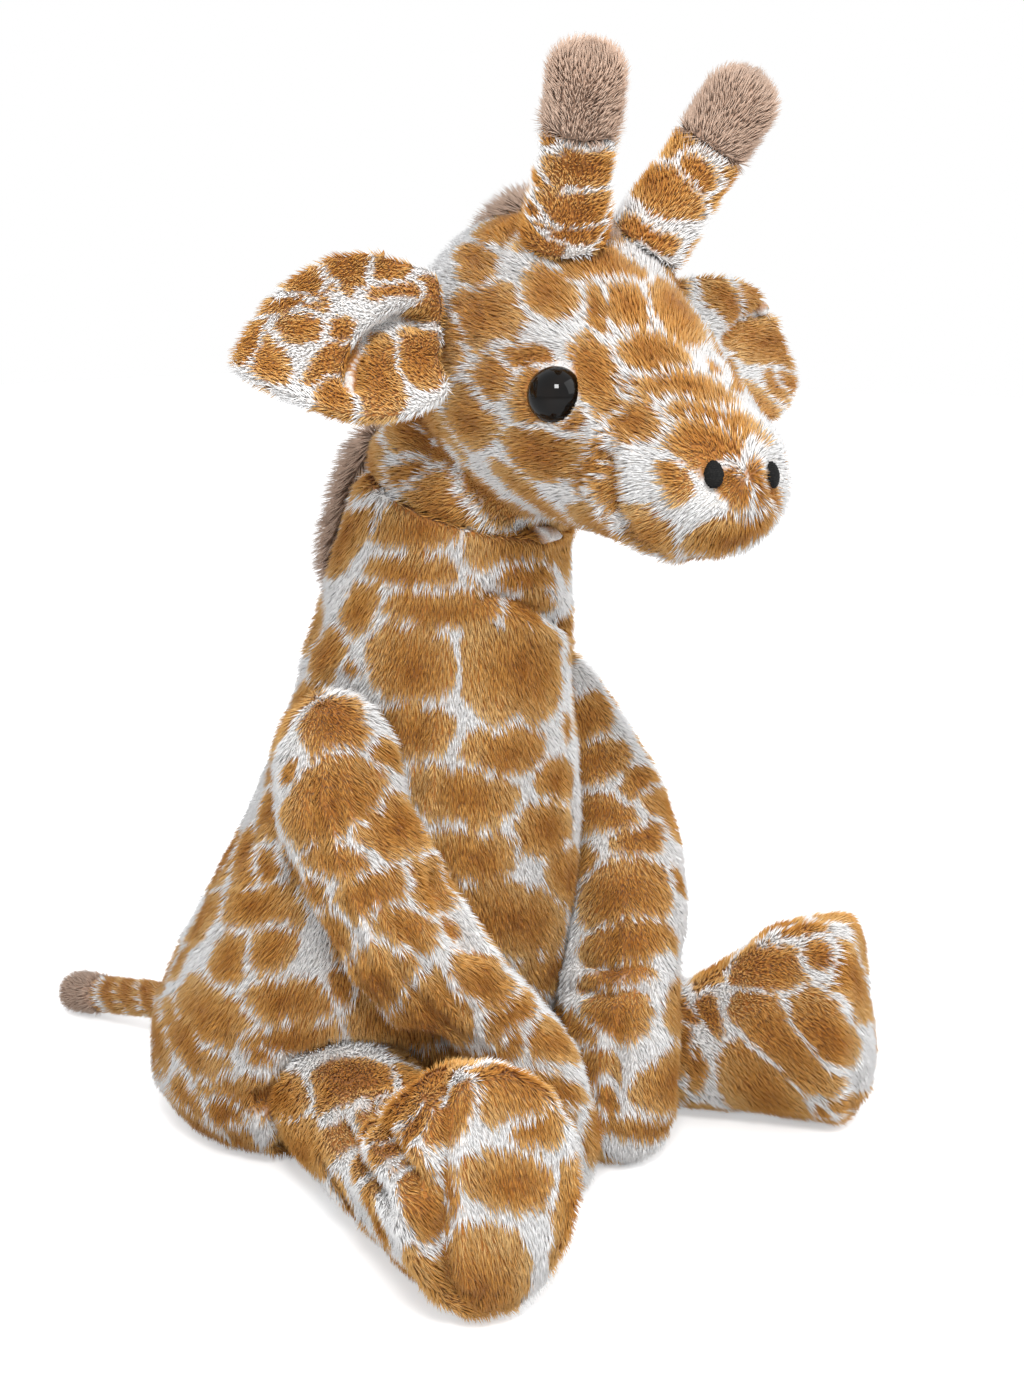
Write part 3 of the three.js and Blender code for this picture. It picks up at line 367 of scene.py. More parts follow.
class Skin:
    """A stuffed skin: its object, with its points and normals as arrays."""

    def __init__(self, name, nodes, voxel, smoothing):
        points, faces = node_mesh(nodes)
        rough = bpy.data.meshes.new(name)
        rough.from_pydata(points, [], faces)
        merged = bmesh.new()
        merged.from_mesh(rough)
        bmesh.ops.remove_doubles(merged, verts=merged.verts, dist=1e-6)
        merged.to_mesh(rough)
        merged.free()
        self.piece = linked(name, rough)
        remesh = self.piece.modifiers.new("Remesh", "REMESH")
        remesh.mode = "VOXEL"
        remesh.voxel_size = voxel
        baked(self.piece)
        self.keep_outer_shell()
        self.mesh = self.piece.data
        self.read()
        self.creased = np.ones(len(self.points))
        self.smooth(smoothing)

    def keep_outer_shell(self):
        """Deletes what the remesh leaves inside the outer shell."""
        form = bmesh.new()
        form.from_mesh(self.piece.data)
        left = set(form.verts)
        shells = []
        while left:
            stack = [left.pop()]
            shell = []
            while stack:
                vertex = stack.pop()
                shell.append(vertex)
                for edge in vertex.link_edges:
                    other = edge.other_vert(vertex)
                    if other in left:
                        left.remove(other)
                        stack.append(other)
            shells.append(shell)
        shells.sort(key=len)
        for shell in shells[:-1]:
            bmesh.ops.delete(form, geom=shell, context="VERTS")
        form.to_mesh(self.piece.data)
        form.free()

    def read(self):
        """Reads the points, edges and normals of the mesh."""
        self.points = values_of(self.mesh.vertices, "co")
        self.edges = values_of(self.mesh.edges, "vertices", 2, np.int64)
        self.degree = np.bincount(self.edges.ravel(), minlength=len(self.points))[:, None]
        self.read_normals()

    def read_normals(self):
        """Reads the normals and makes the tree for rays."""
        self.normals = values_of(self.mesh.vertex_normals, "vector")
        faces = [tuple(face.vertices) for face in self.mesh.polygons]
        self.tree = BVHTree.FromPolygons([Vector(point) for point in self.points], faces)

    def write(self):
        """Writes the points back to the mesh."""
        self.mesh.vertices.foreach_set("co", self.points.ravel())
        self.mesh.update()
        self.read_normals()

    def neighbours_mean(self, values):
        """The mean of each point's neighbours."""
        total = np.zeros_like(values)
        np.add.at(total, self.edges[:, 0], values[self.edges[:, 1]])
        np.add.at(total, self.edges[:, 1], values[self.edges[:, 0]])
        return total / np.maximum(self.degree, 1)

    def sink(self, depth):
        """Moves the cloth in, so that its pile fills the outline."""
        self.swell(-depth)

    def smooth(self, rounds):
        """Smooths without shrinking: a step in and a slightly longer step out."""
        for _ in range(rounds):
            for step in (STEP_IN, -STEP_OUT):
                self.points += step * (self.neighbours_mean(self.points) - self.points)
        self.write()

    def stuff(self, form, others):
        """Lets the skin swell and wrinkle under the stuffing's pressure, as cloth does."""
        cloth = self.piece.modifiers.new("Cloth", "CLOTH")
        cloth.settings.use_pressure = True
        cloth.settings.uniform_pressure_force = form.pressure
        cloth.settings.shrink_min = -form.slack
        cloth.settings.bending_stiffness = CLOTH_STIFFNESS
        cloth.settings.effector_weights.gravity = 0
        cloth.point_cache.frame_end = CLOTH_STEPS
        for step in range(1, CLOTH_STEPS + 1):
            bpy.context.scene.frame_set(step)
        swollen = self.piece.evaluated_get(bpy.context.evaluated_depsgraph_get()).data
        points = values_of(swollen.vertices, "co")
        self.piece.modifiers.clear()
        bpy.context.scene.frame_set(1)
        move = np.nan_to_num(points - self.points)
        length = np.linalg.norm(move, axis=1)
        # A point stays where another piece is near, and keeps within the limit elsewhere
        gaps = np.array([others.find_nearest(Vector(point), FAR_GAP)[3] or FAR_GAP for point in self.points])
        limit = form.puff_limit * smooth_step(STILL_GAP, FREE_GAP, gaps)
        self.points += move * np.minimum(1, limit / np.maximum(length, 1e-9))[:, None]
        self.write()

    def rest(self):
        """Keeps the cloth above the floor that it rests on."""
        self.points[:, 2] = np.maximum(self.points[:, 2], FLOOR_GAP)
        self.write()

    def move(self, ways):
        """Moves each point by its own way."""
        self.points += ways
        self.write()

    def swell(self, heights):
        """Moves each point out along its normal."""
        self.move(self.normals * np.reshape(heights, (-1, 1)))

    def hit(self, x, y):
        """Where the ray through a pixel of the photograph meets the skin."""
        place, normal, _, _ = self.tree.ray_cast(CAMERA_PLACE, photo_ray(x, y))
        return place, normal

    def lump(self, height, size, seed):
        """Soft lumps of the stuffing."""
        start = Vector((seed, seed * 2, seed * 3))
        rise = [noise.noise(Vector(point) / size + start) for point in self.points]
        self.swell(np.array(rise) * height)

    def line(self, pixels):
        """A line of the photograph's pixels laid on the skin, with a point about each 2 mm."""
        pixel_step = 5
        places = []
        for (x, y), (next_x, next_y) in zip(pixels, pixels[1:]):
            steps = max(int(math.hypot(next_x - x, next_y - y) / pixel_step), 1)
            for step in range(steps):
                share = step / steps
                place, _ = self.hit(x + (next_x - x) * share, y + (next_y - y) * share)
                if place is not None:
                    places.append(np.array(place))
        return places

    def distance_to(self, places):
        """The distance of each point to the nearest of some places."""
        nearest = np.full(len(self.points), 1.0)
        for place in places:
            nearest = np.minimum(nearest, np.linalg.norm(self.points - place, axis=1))
        return nearest

    def fold(self, pixels, depth, width):
        """A fold pressed in along a line of the photograph, with a low roll on both sides."""
        places = self.line(pixels)
        if not places:
            return
        roll_share, roll_place = 0.35, 1.9
        bare_until, full_from = -0.5, 1.3
        away = self.distance_to(places) / width
        rise = -depth * np.exp(-away ** 2) + roll_share * depth * np.exp(-(away - roll_place) ** 2)
        if depth > 0:
            self.creased = np.minimum(self.creased, smooth_step(bare_until, full_from, away))
        self.swell(rise)

    def store(self, name, values):
        """Stores an array of numbers or vectors as an attribute of the points."""
        kind = "FLOAT" if values.ndim == 1 else "FLOAT_VECTOR"
        attribute = self.mesh.attributes.new(name, kind, "POINT")
        attribute.data.foreach_set("value" if values.ndim == 1 else "vector",
                                   np.ascontiguousarray(values, dtype=np.float32).ravel())

    def seen(self, others):
        """Which points the photograph shows: facing the camera, with nothing before them."""
        least_facing, off_skin = 0.22, 1.5 * MM
        views = unit(np.array(CAMERA_PLACE) - self.points)
        facing = (views * self.normals).sum(axis=1) > least_facing
        shown = np.zeros(len(self.points), dtype=bool)
        for i in np.flatnonzero(facing):
            start = Vector(self.points[i] + self.normals[i] * off_skin)
            way = Vector(views[i])
            reach = (CAMERA_PLACE - start).length
            clear = self.tree.ray_cast(start, way, reach)[0] is None
            shown[i] = clear and others.ray_cast(start, way, reach)[0] is None
        return shown


class Patch:
    """An oval patch on a skin: its centre and the matrix that turns an offset into ovals."""

    def __init__(self, centre, long_axis, short_axis, normal, depth, reach):
        self.centre = np.array(centre)
        self.reach = reach
        self.size = (np.linalg.norm(long_axis) + np.linalg.norm(short_axis)) / 2
        columns = np.column_stack([long_axis, short_axis, np.array(normal) * depth])
        self.inverse = np.linalg.inv(columns)

    def distance(self, points):
        """1 on the patch's edge, less inside it."""
        squareness = 2.5
        share = np.abs((points - self.centre) @ self.inverse.T)
        return (share ** squareness).sum(axis=1) ** (1 / squareness) / self.reach


def seen_patch(skin, x, y, half_length, half_width, slant):
    """A patch of the photograph laid on the skin, or None where the skin isn't there."""
    centre, normal = skin.hit(x, y)
    if centre is None:
        return None
    turn = math.radians(slant)
    grazing, stretch_limit, least_depth = 0.05, 2.2, 12 * MM
    axes = []
    for size, way in ((half_length, (math.cos(turn), math.sin(turn))),
                      (half_width, (-math.sin(turn), math.cos(turn)))):
        ray = photo_ray(x + way[0] * size, y + way[1] * size)
        slope = ray.dot(normal)
        flat = (centre - CAMERA_PLACE).length * size / FOCAL_PIXELS
        reach = (centre - CAMERA_PLACE).dot(normal) / slope if slope < -grazing else 0
        axis = CAMERA_PLACE + ray * reach - centre if reach > 0 else CAMERA_UP * flat
        longest = stretch_limit * flat
        if axis.length > longest:
            axis = axis.normalized() * longest
        axes.append(np.array(axis))
    depth = max(least_depth, 0.9 * max(np.linalg.norm(axis) for axis in axes))
    return Patch(centre, *axes, normal, depth, SEEN_REACH)


def in_front(skin, others, x, y):
    """Whether the skin is what the photograph shows at a pixel."""
    place, _ = skin.hit(x, y)
    if place is None:
        return False
    reach = (place - CAMERA_PLACE).length - 1 * MM
    return others.ray_cast(CAMERA_PLACE, photo_ray(x, y), reach)[0] is None


def grown_patches(skin, patches, shown, nap, half_length, half_width, seed):
    """Patches for the sides that the photograph doesn't show, spread so that none meet."""
    smallest, largest, most_tilt = 0.78, 1.2, 0.35
    clear_of, clear_by_size = 1.45, 0.4
    chance = np.random.RandomState(seed)
    hidden = np.flatnonzero(~shown)
    nearest = np.full(len(skin.points), FAR_OUT)
    for patch in patches:
        nearest = np.minimum(nearest, patch.distance(skin.points))
    grown = []
    for i in chance.permutation(hidden):
        normal = skin.normals[i]
        size = chance.uniform(smallest, largest)
        if nearest[i] < clear_of + clear_by_size * size:
            continue
        across = np.cross(normal, nap[i])
        across /= max(np.linalg.norm(across), 1e-6)
        along = np.cross(across, normal)
        tilt = chance.uniform(-most_tilt, most_tilt)
        long_axis = (across * math.cos(tilt) + along * math.sin(tilt)) * half_length * size
        short_axis = (along * math.cos(tilt) - across * math.sin(tilt)) * half_width * size
        depth = max(10 * MM, half_length * size)
        patch = Patch(skin.points[i], long_axis, short_axis, normal, depth, GROWN_REACH)
        nearest = np.minimum(nearest, patch.distance(skin.points))
        grown.append(patch)
    return grown


def warped(points, size, height, seed):
    """The points moved by a smooth noise, which makes the patches' edges uneven."""
    start = Vector((seed, seed * 3, seed * 5))
    shift = [noise.noise_vector(Vector(point) / size + start) for point in points]
    return points + np.array(shift) * height


def paint(skin, patches, white_line):
    """The share of caramel at each point, and how deep in a patch it lies."""
    points = warped(skin.points, size=11 * MM, height=2.4 * MM, seed=3.0)
    points = warped(points, size=4 * MM, height=0.8 * MM, seed=8.0)
    first = np.full(len(points), FAR_OUT)
    second = np.full(len(points), FAR_OUT)
    size = np.full(len(points), 10 * MM)
    for patch in patches:
        distance = patch.distance(points)
        nearer = distance < first
        second = np.where(nearer, first, np.minimum(second, distance))
        size = np.where(nearer, patch.size, size)
        first = np.where(nearer, distance, first)
    edge_start, edge_end, line_core = 0.99, 1.09, 0.35
    inside = 1 - smooth_step(edge_start, edge_end, first)
    apart = (second - first) * size
    inside *= smooth_step(line_core * white_line, white_line, apart)
    return inside, np.clip(1 - first, 0, 1)


def nap_of(skin, way):
    """The nap: one way or a way for each point, laid into the skin."""
    ways = np.array([way(point) if callable(way) else way for point in skin.points])
    flat = ways - skin.normals * (ways * skin.normals).sum(axis=1, keepdims=True)
    return unit(flat)


def pile_heights(skin, others, bare, wide=4.2 * MM, rubbed=0.0, trodden=0.0):
    """The share of the full pile at each point: none in a joint, less where another piece lies on it."""
    share = np.ones(len(skin.points))
    to_joint = skin.distance_to([np.array(entry["pos_m"]) for entry in frame["joints"]])
    pressed = np.where(to_joint > JOINT_REACH, rubbed, 0)
    shortest, lightly_pressed = 0.22, 0.5
    for i, point in enumerate(skin.points):
        _, _, _, gap = others.find_nearest(Vector(point), FREE_GAP)
        if gap is not None:
            share[i] = pressed[i] if gap < PRESSED_GAP else min(1, lightly_pressed + gap / wide)
    for centre, none_within, full_from in bare:
        away = np.linalg.norm(skin.points - np.array(centre), axis=1)
        rise = smooth_step(none_within, full_from, away)
        around = np.minimum(share, shortest + (1 - shortest) * rise)
        share = np.where(away < none_within, 0, around)
    faces_down = skin.normals[:, 2] < -0.5
    share[faces_down & (skin.points[:, 2] < TRODDEN_HEIGHT)] = trodden
    return share


# Node trees

def socket_of(sockets, key):
    """A node's socket by its name or number. Of several with one name, the one in use."""
    if isinstance(key, int):
        return sockets[key]
    return next(socket for socket in sockets if socket.name == key and socket.enabled)


def put_in(tree, node, inputs):
    """Links or sets a node's inputs, by name or number."""
    for key, value in inputs.items():
        socket = socket_of(node.inputs, key)
        if isinstance(value, bpy.types.NodeSocket):
            tree.links.new(value, socket)
        else:
            socket.default_value = value


def add_node(tree, kind, inputs=None, **settings):
    """A node with its settings, and its inputs linked or set."""
    node = tree.nodes.new(kind)
    for key, value in settings.items():
        setattr(node, key, value)
    put_in(tree, node, inputs or {})
    return node


def out(node, key=0):
    """A node's output."""
    return socket_of(node.outputs, key)


def maths(tree, operation, first, second=0.0, third=0.0):
    """A sum on numbers."""
    node = add_node(tree, "ShaderNodeMath", {0: first, 1: second, 2: third}, operation=operation)
    return node.outputs[0]


def vectors(tree, operation, first, second=None, scale=None):
    """A sum on vectors."""
    inputs = {0: first}
    if second is not None:
        inputs[1] = second
    if scale is not None:
        inputs["Scale"] = scale
    node = add_node(tree, "ShaderNodeVectorMath", inputs, operation=operation)
    return node.outputs["Value" if operation in ("DOT_PRODUCT", "LENGTH") else "Vector"]


def noise_over(tree, place, scale, detail):
    """A noise texture over a place."""
    return add_node(tree, "ShaderNodeTexNoise", {"Vector": place, "Scale": scale, "Detail": detail})


def modifier_tree(name, inputs):
    """A new Geometry Nodes tree with its inputs, and the node that gives them."""
    tree = bpy.data.node_groups.new(name, "GeometryNodeTree")
    tree.interface.new_socket("Geometry", in_out="INPUT", socket_type="NodeSocketGeometry")
    for key, kind, description in inputs:
        tree.interface.new_socket(key, in_out="INPUT", socket_type=kind, description=description)
    tree.interface.new_socket("Geometry", in_out="OUTPUT", socket_type="NodeSocketGeometry")
    return tree, tree.nodes.new("NodeGroupInput")


def end_tree(tree, geometry, finish):
    """Shades what a tree made smooth, gives it its finish and hands it out."""
    shaded = add_node(tree, "GeometryNodeSetShadeSmooth", {"Geometry": geometry})
    finished = add_node(tree, "GeometryNodeSetMaterial", {"Geometry": out(shaded), "Material": finish})
    add_node(tree, "NodeGroupOutput", {"Geometry": out(finished)})


def run_tree(piece, tree, values):
    """Runs a tree on a piece with its inputs' values, and keeps what it makes."""
    inputs = {item.name: item.identifier for item in tree.interface.items_tree if item.in_out == "INPUT"}
    modifier = piece.modifiers.new(tree.name, "NODES")
    modifier.node_group = tree
    for key, value in values.items():
        modifier[inputs[key]] = value
    baked(piece)


PILE_INPUTS = (
    ("Strands per Area", "NodeSocketFloat", "Strands on a square metre"),
    ("Strand Length", "NodeSocketFloat", "Length of a full strand"),
    ("Strand Width", "NodeSocketFloat", "Width at the root"),
    ("Lean", "NodeSocketFloat", "Angle from upright"),
    ("Tuft Size", "NodeSocketFloat", "Size of a tuft"),
    ("Lowest", "NodeSocketFloat", "Height where this piece starts"),
    ("Highest", "NodeSocketFloat", "Height where this piece ends"),
    ("Seed", "NodeSocketInt", "Seed of the random places"),
    ("Finish", "NodeSocketMaterial", "Material of the strands"),
)


def pile_tree():
    """Geometry Nodes: thin strands over a skin, combed along its nap and parted into tufts."""
    tree, given = modifier_tree("Combed Pile", PILE_INPUTS)

    def value(name):
        return given.outputs[name]

    def stored(name, kind="FLOAT"):
        return out(add_node(tree, "GeometryNodeInputNamedAttribute", {"Name": name}, data_type=kind),
                   "Attribute")

    def marked(geometry, name, values, kind="FLOAT", domain="POINT"):
        return out(add_node(tree, "GeometryNodeStoreNamedAttribute",
                            {"Geometry": geometry, "Name": name, "Value": values},
                            data_type=kind, domain=domain))

    def random(low, high, seed, kind="FLOAT"):
        node = add_node(tree, "FunctionNodeRandomValue", {"Min": low, "Max": high, "Seed": seed},
                        data_type=kind)
        return out(node, "Value")

    def parts_of(vector):
        parts = add_node(tree, "ShaderNodeSeparateXYZ", {0: vector})
        return out(parts, "X"), out(parts, "Y"), out(parts, "Z")

    def put_together(across, along, up=0.0):
        return out(add_node(tree, "ShaderNodeCombineXYZ", {"X": across, "Y": along, "Z": up}))

    place = out(add_node(tree, "GeometryNodeInputPosition"))
    _, _, height = parts_of(place)
    above = maths(tree, "GREATER_THAN", height, value("Lowest"))
    below = maths(tree, "LESS_THAN", height, value("Highest"))
    share = stored("pile")
    least_share = 0.05
    grows = maths(tree, "GREATER_THAN", share, least_share)
    here = maths(tree, "MULTIPLY", maths(tree, "MULTIPLY", above, below), grows)
    density = maths(tree, "MULTIPLY", here, value("Strands per Area"))
    spread = add_node(tree, "GeometryNodeDistributePointsOnFaces",
                      {"Mesh": value("Geometry"), "Density": density, "Seed": value("Seed")},
                      distribute_method="RANDOM")

    # Which family each strand belongs to, white or caramel, and its tone
    all_white, all_caramel = 0.22, 0.78
    chance = random(all_white, all_caramel, 11)
    family = maths(tree, "LESS_THAN", chance, stored("patch"))
    cloud_share, strand_share = 0.55, 0.2
    cloud = out(noise_over(tree, place, 55.0, 2.0))
    tone = maths(tree, "MULTIPLY_ADD", cloud, cloud_share, stored("tone"))
    tone = maths(tree, "ADD", tone, random(-strand_share, strand_share, 23))
    tone = out(add_node(tree, "ShaderNodeClamp", {"Value": tone, "Min": 0.0, "Max": 1.0}))
    # White strands lie in the left half of the strip, caramel ones in the right half
    strip_start, tone_width, caramel_shift = 0.03, 0.42, 0.51
    left = maths(tree, "MULTIPLY_ADD", tone, tone_width, strip_start)
    strip = maths(tree, "MULTIPLY_ADD", family, caramel_shift, left)
    strand_places = marked(out(spread, "Points"), "strip", strip)

    # The way of each strand: leaning along the nap, with tufts and stray strands
    nap = stored("nap", "FLOAT_VECTOR")
    normal = out(spread, "Normal")
    upright = vectors(tree, "SCALE", normal, scale=maths(tree, "COSINE", value("Lean")))
    leaning = vectors(tree, "SCALE", nap, scale=maths(tree, "SINE", value("Lean")))
    way = vectors(tree, "ADD", upright, leaning)
    large_tufts, small_tufts = (1.0, 0.7), (0.33, 0.55)
    for size_share, strength in (large_tufts, small_tufts):
        size = maths(tree, "MULTIPLY", value("Tuft Size"), size_share)
        scaled = vectors(tree, "SCALE", place, scale=maths(tree, "DIVIDE", 1.0, size))
        wander = noise_over(tree, scaled, 1.0, 1.0)
        offset = vectors(tree, "SUBTRACT", out(wander, "Color"), (0.5, 0.5, 0.5))
        way = vectors(tree, "ADD", way, vectors(tree, "SCALE", offset, scale=strength))
    most_stray = 0.13
    stray = random((-most_stray,) * 3, (most_stray,) * 3, 37, "FLOAT_VECTOR")
    way = vectors(tree, "NORMALIZE", vectors(tree, "ADD", way, stray))
    # A strand never lies under the cloth
    least_rise = 0.34
    rise = vectors(tree, "DOT_PRODUCT", way, normal)
    lift = maths(tree, "MAXIMUM", maths(tree, "SUBTRACT", least_rise, rise), 0.0)
    way = vectors(tree, "NORMALIZE", vectors(tree, "ADD", way, vectors(tree, "SCALE", normal, scale=lift)))

    # Its length: uneven, shorter beside other pieces, and never through the floor
    shortest, longest = 0.72, 1.12
    length = maths(tree, "MULTIPLY", value("Strand Length"), random(shortest, longest, 41))
    length = maths(tree, "MULTIPLY", length, share)
    _, _, climb = parts_of(way)
    least_fall, least_height = 0.001, 0.0003
    falling = maths(tree, "MAXIMUM", maths(tree, "MULTIPLY", climb, -1.0), least_fall)
    to_floor = maths(tree, "DIVIDE", maths(tree, "MAXIMUM", height, least_height), falling)
    length = maths(tree, "MINIMUM", length, to_floor)
    size = put_together(value("Strand Width"), value("Strand Width"), length)
    turn = out(add_node(tree, "FunctionNodeAlignRotationToVector", {"Vector": way}, axis="Z"))

    # One strand: a closed spike of four triangles, with its own place in the colour strip
    spike = add_node(tree, "GeometryNodeMeshCone",
                     {"Vertices": 3, "Radius Top": 0.0, "Radius Bottom": 0.5, "Depth": 1.0},
                     fill_type="NGON")
    spike_place = out(add_node(tree, "GeometryNodeInputPosition"))
    spike_mark = marked(out(spike, "Mesh"), "spike", spike_place, "FLOAT_VECTOR")
    stood = add_node(tree, "GeometryNodeInstanceOnPoints",
                     {"Points": strand_places, "Instance": spike_mark, "Rotation": turn, "Scale": size})
    real = add_node(tree, "GeometryNodeRealizeInstances", {"Geometry": out(stood)})
    across, along, up = parts_of(stored("spike", "FLOAT_VECTOR"))
    across_part, along_part, strand_width = 0.93, 0.36, 0.02
    strand_height, lean_over, margin = 0.9, 0.05, 0.05
    side = maths(tree, "MULTIPLY_ADD", along, along_part, maths(tree, "MULTIPLY", across, across_part))
    strip_u = maths(tree, "MULTIPLY_ADD", side, strand_width, stored("strip"))
    strip_v = maths(tree, "MULTIPLY_ADD", up, strand_height,
                    maths(tree, "MULTIPLY_ADD", along, lean_over, margin))
    mapped = marked(out(real), "OFBake", put_together(strip_u, strip_v), "FLOAT2", "CORNER")
    end_tree(tree, mapped, value("Finish"))
    return tree


def material(name):
    """A new material, with its tree, its shader and its output."""
    finish = bpy.data.materials.new(name)
    finish.use_nodes = True
    tree = finish.node_tree
    shader = tree.nodes["Principled BSDF"]
    return finish, tree, shader


def ramp(tree, value, stops):
    """A colour ramp with its stops: place and linear colour."""
    node = add_node(tree, "ShaderNodeValToRGB", {"Fac": value})
    elements = node.color_ramp.elements
    elements[0].position = stops[0][0]
    elements[0].color = (*stops[0][1], 1)
    elements[1].position = stops[-1][0]
    elements[1].color = (*stops[-1][1], 1)
    for place, color in stops[1:-1]:
        elements.new(place).color = (*color, 1)
    return out(node, "Color")


def mixed(tree, mode, share, first, second):
    """Two colours mixed."""
    node = add_node(tree, "ShaderNodeMix", {"Factor": share, "A": first, "B": second}, data_type="RGBA",
                    blend_type=mode)
    return out(node, "Result")


def greys(*stops):
    """Stops of a colour ramp from greys, each a place and a level."""
    return [(place, (level,) * 3) for place, level in stops]


def object_place(tree):
    """The place on a piece."""
    return out(add_node(tree, "ShaderNodeTexCoord"), "Object")


def strand_finish(name, stops, root_shade):
    """Pile: a colour strip across u, and along v a painted shade that makes a strand darker at the root and
    lighter at the tip.
    """
    finish, tree, shader = material(name)
    place = add_node(tree, "ShaderNodeUVMap", uv_map="OFBake")
    parts = add_node(tree, "ShaderNodeSeparateXYZ", {0: out(place)})
    color = ramp(tree, out(parts, "X"), stops)
    # Painted shade: each strand darkens towards its root, where the pile shades itself
    depth = ramp(tree, out(parts, "Y"), greys((0.0, root_shade), (0.55, 0.93), (1.0, 1.0)))
    put_in(tree, shader, {
        "Base Color": mixed(tree, "MULTIPLY", 1.0, color, depth),
        "Roughness": maths(tree, "MULTIPLY_ADD", out(parts, "Y"), -0.12, 0.78),
        "Specular IOR Level": 0.15,
        "Sheen Weight": 0.06,
        "Sheen Roughness": 0.4,
    })
    return finish


def backing_finish(name, plain, patched):
    """The knitted cloth under the pile: the same pattern, with the roots of the pile as a fine grain."""
    finish, tree, shader = material(name)
    patch = add_node(tree, "ShaderNodeAttribute", attribute_name="patch", attribute_type="GEOMETRY")
    place = object_place(tree)
    grain = out(noise_over(tree, place, 1400.0, 3.0))
    shade = out(noise_over(tree, place, 60.0, 2.0))
    color = mixed(tree, "MIX", out(patch, "Fac"), (*plain, 1), (*patched, 1))
    color = mixed(tree, "MULTIPLY", 1.0, color, ramp(tree, shade, greys((0.3, 0.8), (0.7, 1.0))))
    color = mixed(tree, "MULTIPLY", 1.0, color, ramp(tree, grain, greys((0.35, 0.78), (0.65, 1.0))))
    bump = add_node(tree, "ShaderNodeBump", {"Height": grain, "Strength": 0.6, "Distance": 0.6 * MM})
    put_in(tree, shader, {"Base Color": color, "Normal": out(bump), "Roughness": 0.95, "Sheen Weight": 0.12})
    return finish


@cache
def wardrobe():
    """The tree and the finishes that the pieces share, made once."""
    pile = bpy.context.scene.giraffe_pile
    patterned = [
        (0.03, pile.white_deep), (0.22, pile.white), (0.49, pile.white),
        (0.52, pile.caramel_deep), (0.72, pile.caramel), (0.97, pile.caramel_pale),
    ]
    taupe = [(0.03, pile.taupe_deep), (0.47, pile.taupe), (0.97, pile.taupe)]
    # Painted shade: the cloth under the pile takes darker copies of the pile's colours, as it lies in the
    # pile's shade
    pale, brown = linear(230, 226, 222), linear(172, 112, 48)
    return {
        "tree": pile_tree(),
        # The last number of each strand finish is the painted shade at the strands' roots
        "patterned_pile": (strand_finish("patterned_pile_strands", patterned, 0.62),
                           backing_finish("patterned_pile_cloth", pale, brown)),
        "taupe_pile": (strand_finish("taupe_pile_strands", taupe, 0.55),
                       backing_finish("taupe_pile_cloth", pile.taupe_deep, pile.taupe_deep)),
    }


def clean_attributes(mesh):
    """Removes the values that only the making of the pile needed."""
    for name in [layer.name for layer in mesh.attributes]:
        if name in ("nap", "patch", "tone", "pile", "strip", "spike"):
            mesh.attributes.remove(mesh.attributes[name])


def grow_pile(skin, name, body, slot, seed, bands=1, length=1.0, density=1.0, lean=1.0):
    """Grows the pile on a skin, in pieces of a band of height each."""
    pile = bpy.context.scene.giraffe_pile
    edges = np.quantile(skin.points[:, 2], np.linspace(0, 1, bands + 1))
    edges[0] -= 1
    edges[-1] += 1
    for band in range(bands):
        piece = linked(f"{name}_pile" if bands == 1 else f"{name}_pile_{band + 1}", skin.mesh.copy())
        run_tree(piece, wardrobe()["tree"], {
            "Strands per Area": pile.per_area * density / MM ** 2,
            "Strand Length": pile.length * length,
            "Strand Width": pile.width,
            "Lean": pile.lean * lean,
            "Tuft Size": pile.tuft,
            "Lowest": float(edges[band]),
            "Highest": float(edges[band + 1]),
            "Seed": seed * 10 + band,
            "Finish": wardrobe()[slot][0],
        })
        clean_attributes(piece.data)
        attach(piece, body)


def dress(skin, body, slot, *nodes, fill=0.85):
    """Gives a skin its cloth, hangs it on its body and hides the CAD nodes that it stands for."""
    skin.mesh.materials.clear()
    skin.mesh.materials.append(wardrobe()[slot][1])
    skin.mesh.polygons.foreach_set("use_smooth", [True] * len(skin.mesh.polygons))
    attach(skin.piece, body)
    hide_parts(*nodes)


def other_nodes(own):
    """All CAD nodes but a piece's own."""
    return [node for node in frame["nodes"] if node not in own]


def cover(name, body, nodes, patches, way, seed, grown, bare=(), folds=(), voxel=None, bands=1,
          density=1.0, length=1.0, white_line=2.4 * MM, lumps=1.0, lean=1.0, inset=1.0, shape=None,
          stuffed=False, rubbed=0.0, trodden=0.0):
    """One stuffed form with its patterned skin and pile.

    A fold is a line with its depth and width. Grown is the half length and half width of a patch on
    a side that isn't seen. A bare spot is a centre, where the pile starts and where it is full.
    """
    form = bpy.context.scene.giraffe_form
    skin = Skin(name, nodes, voxel or form.voxel, form.smoothing)
    skin.sink(form.inset * inset)
    skin.lump(form.lumps * lumps, LUMP_SIZE, seed)
    if shape:
        shape(skin)
    others = node_tree(other_nodes(nodes))
    nap = nap_of(skin, way)
    laid = [seen_patch(skin, *patch) for patch in patches]
    laid += [seen_patch(skin, *patch) for patch in ALL_PATCHES
             if patch not in patches and in_front(skin, others, patch[0], patch[1])]
    laid = [patch for patch in laid if patch]
    laid += grown_patches(skin, laid, skin.seen(others), nap, *grown, seed)
    if stuffed:
        skin.stuff(form, others)
    for line, depth, width in folds:
        skin.fold(line, depth, width)
    skin.rest()
    inside, depth = paint(skin, laid, white_line)
    edge_tone, deepening, white_tone = 0.5, 0.75, 0.3
    skin.store("patch", inside)
    skin.store("tone", np.where(inside > 0.5, edge_tone - deepening * depth, white_tone))
    skin.store("nap", nap)
    skin.store("pile", pile_heights(skin, others, bare, rubbed=rubbed, trodden=trodden) * skin.creased)
    grow_pile(skin, name, body, "patterned_pile", seed, bands, length, density, lean)
    dress(skin, body, "patterned_pile", *nodes)


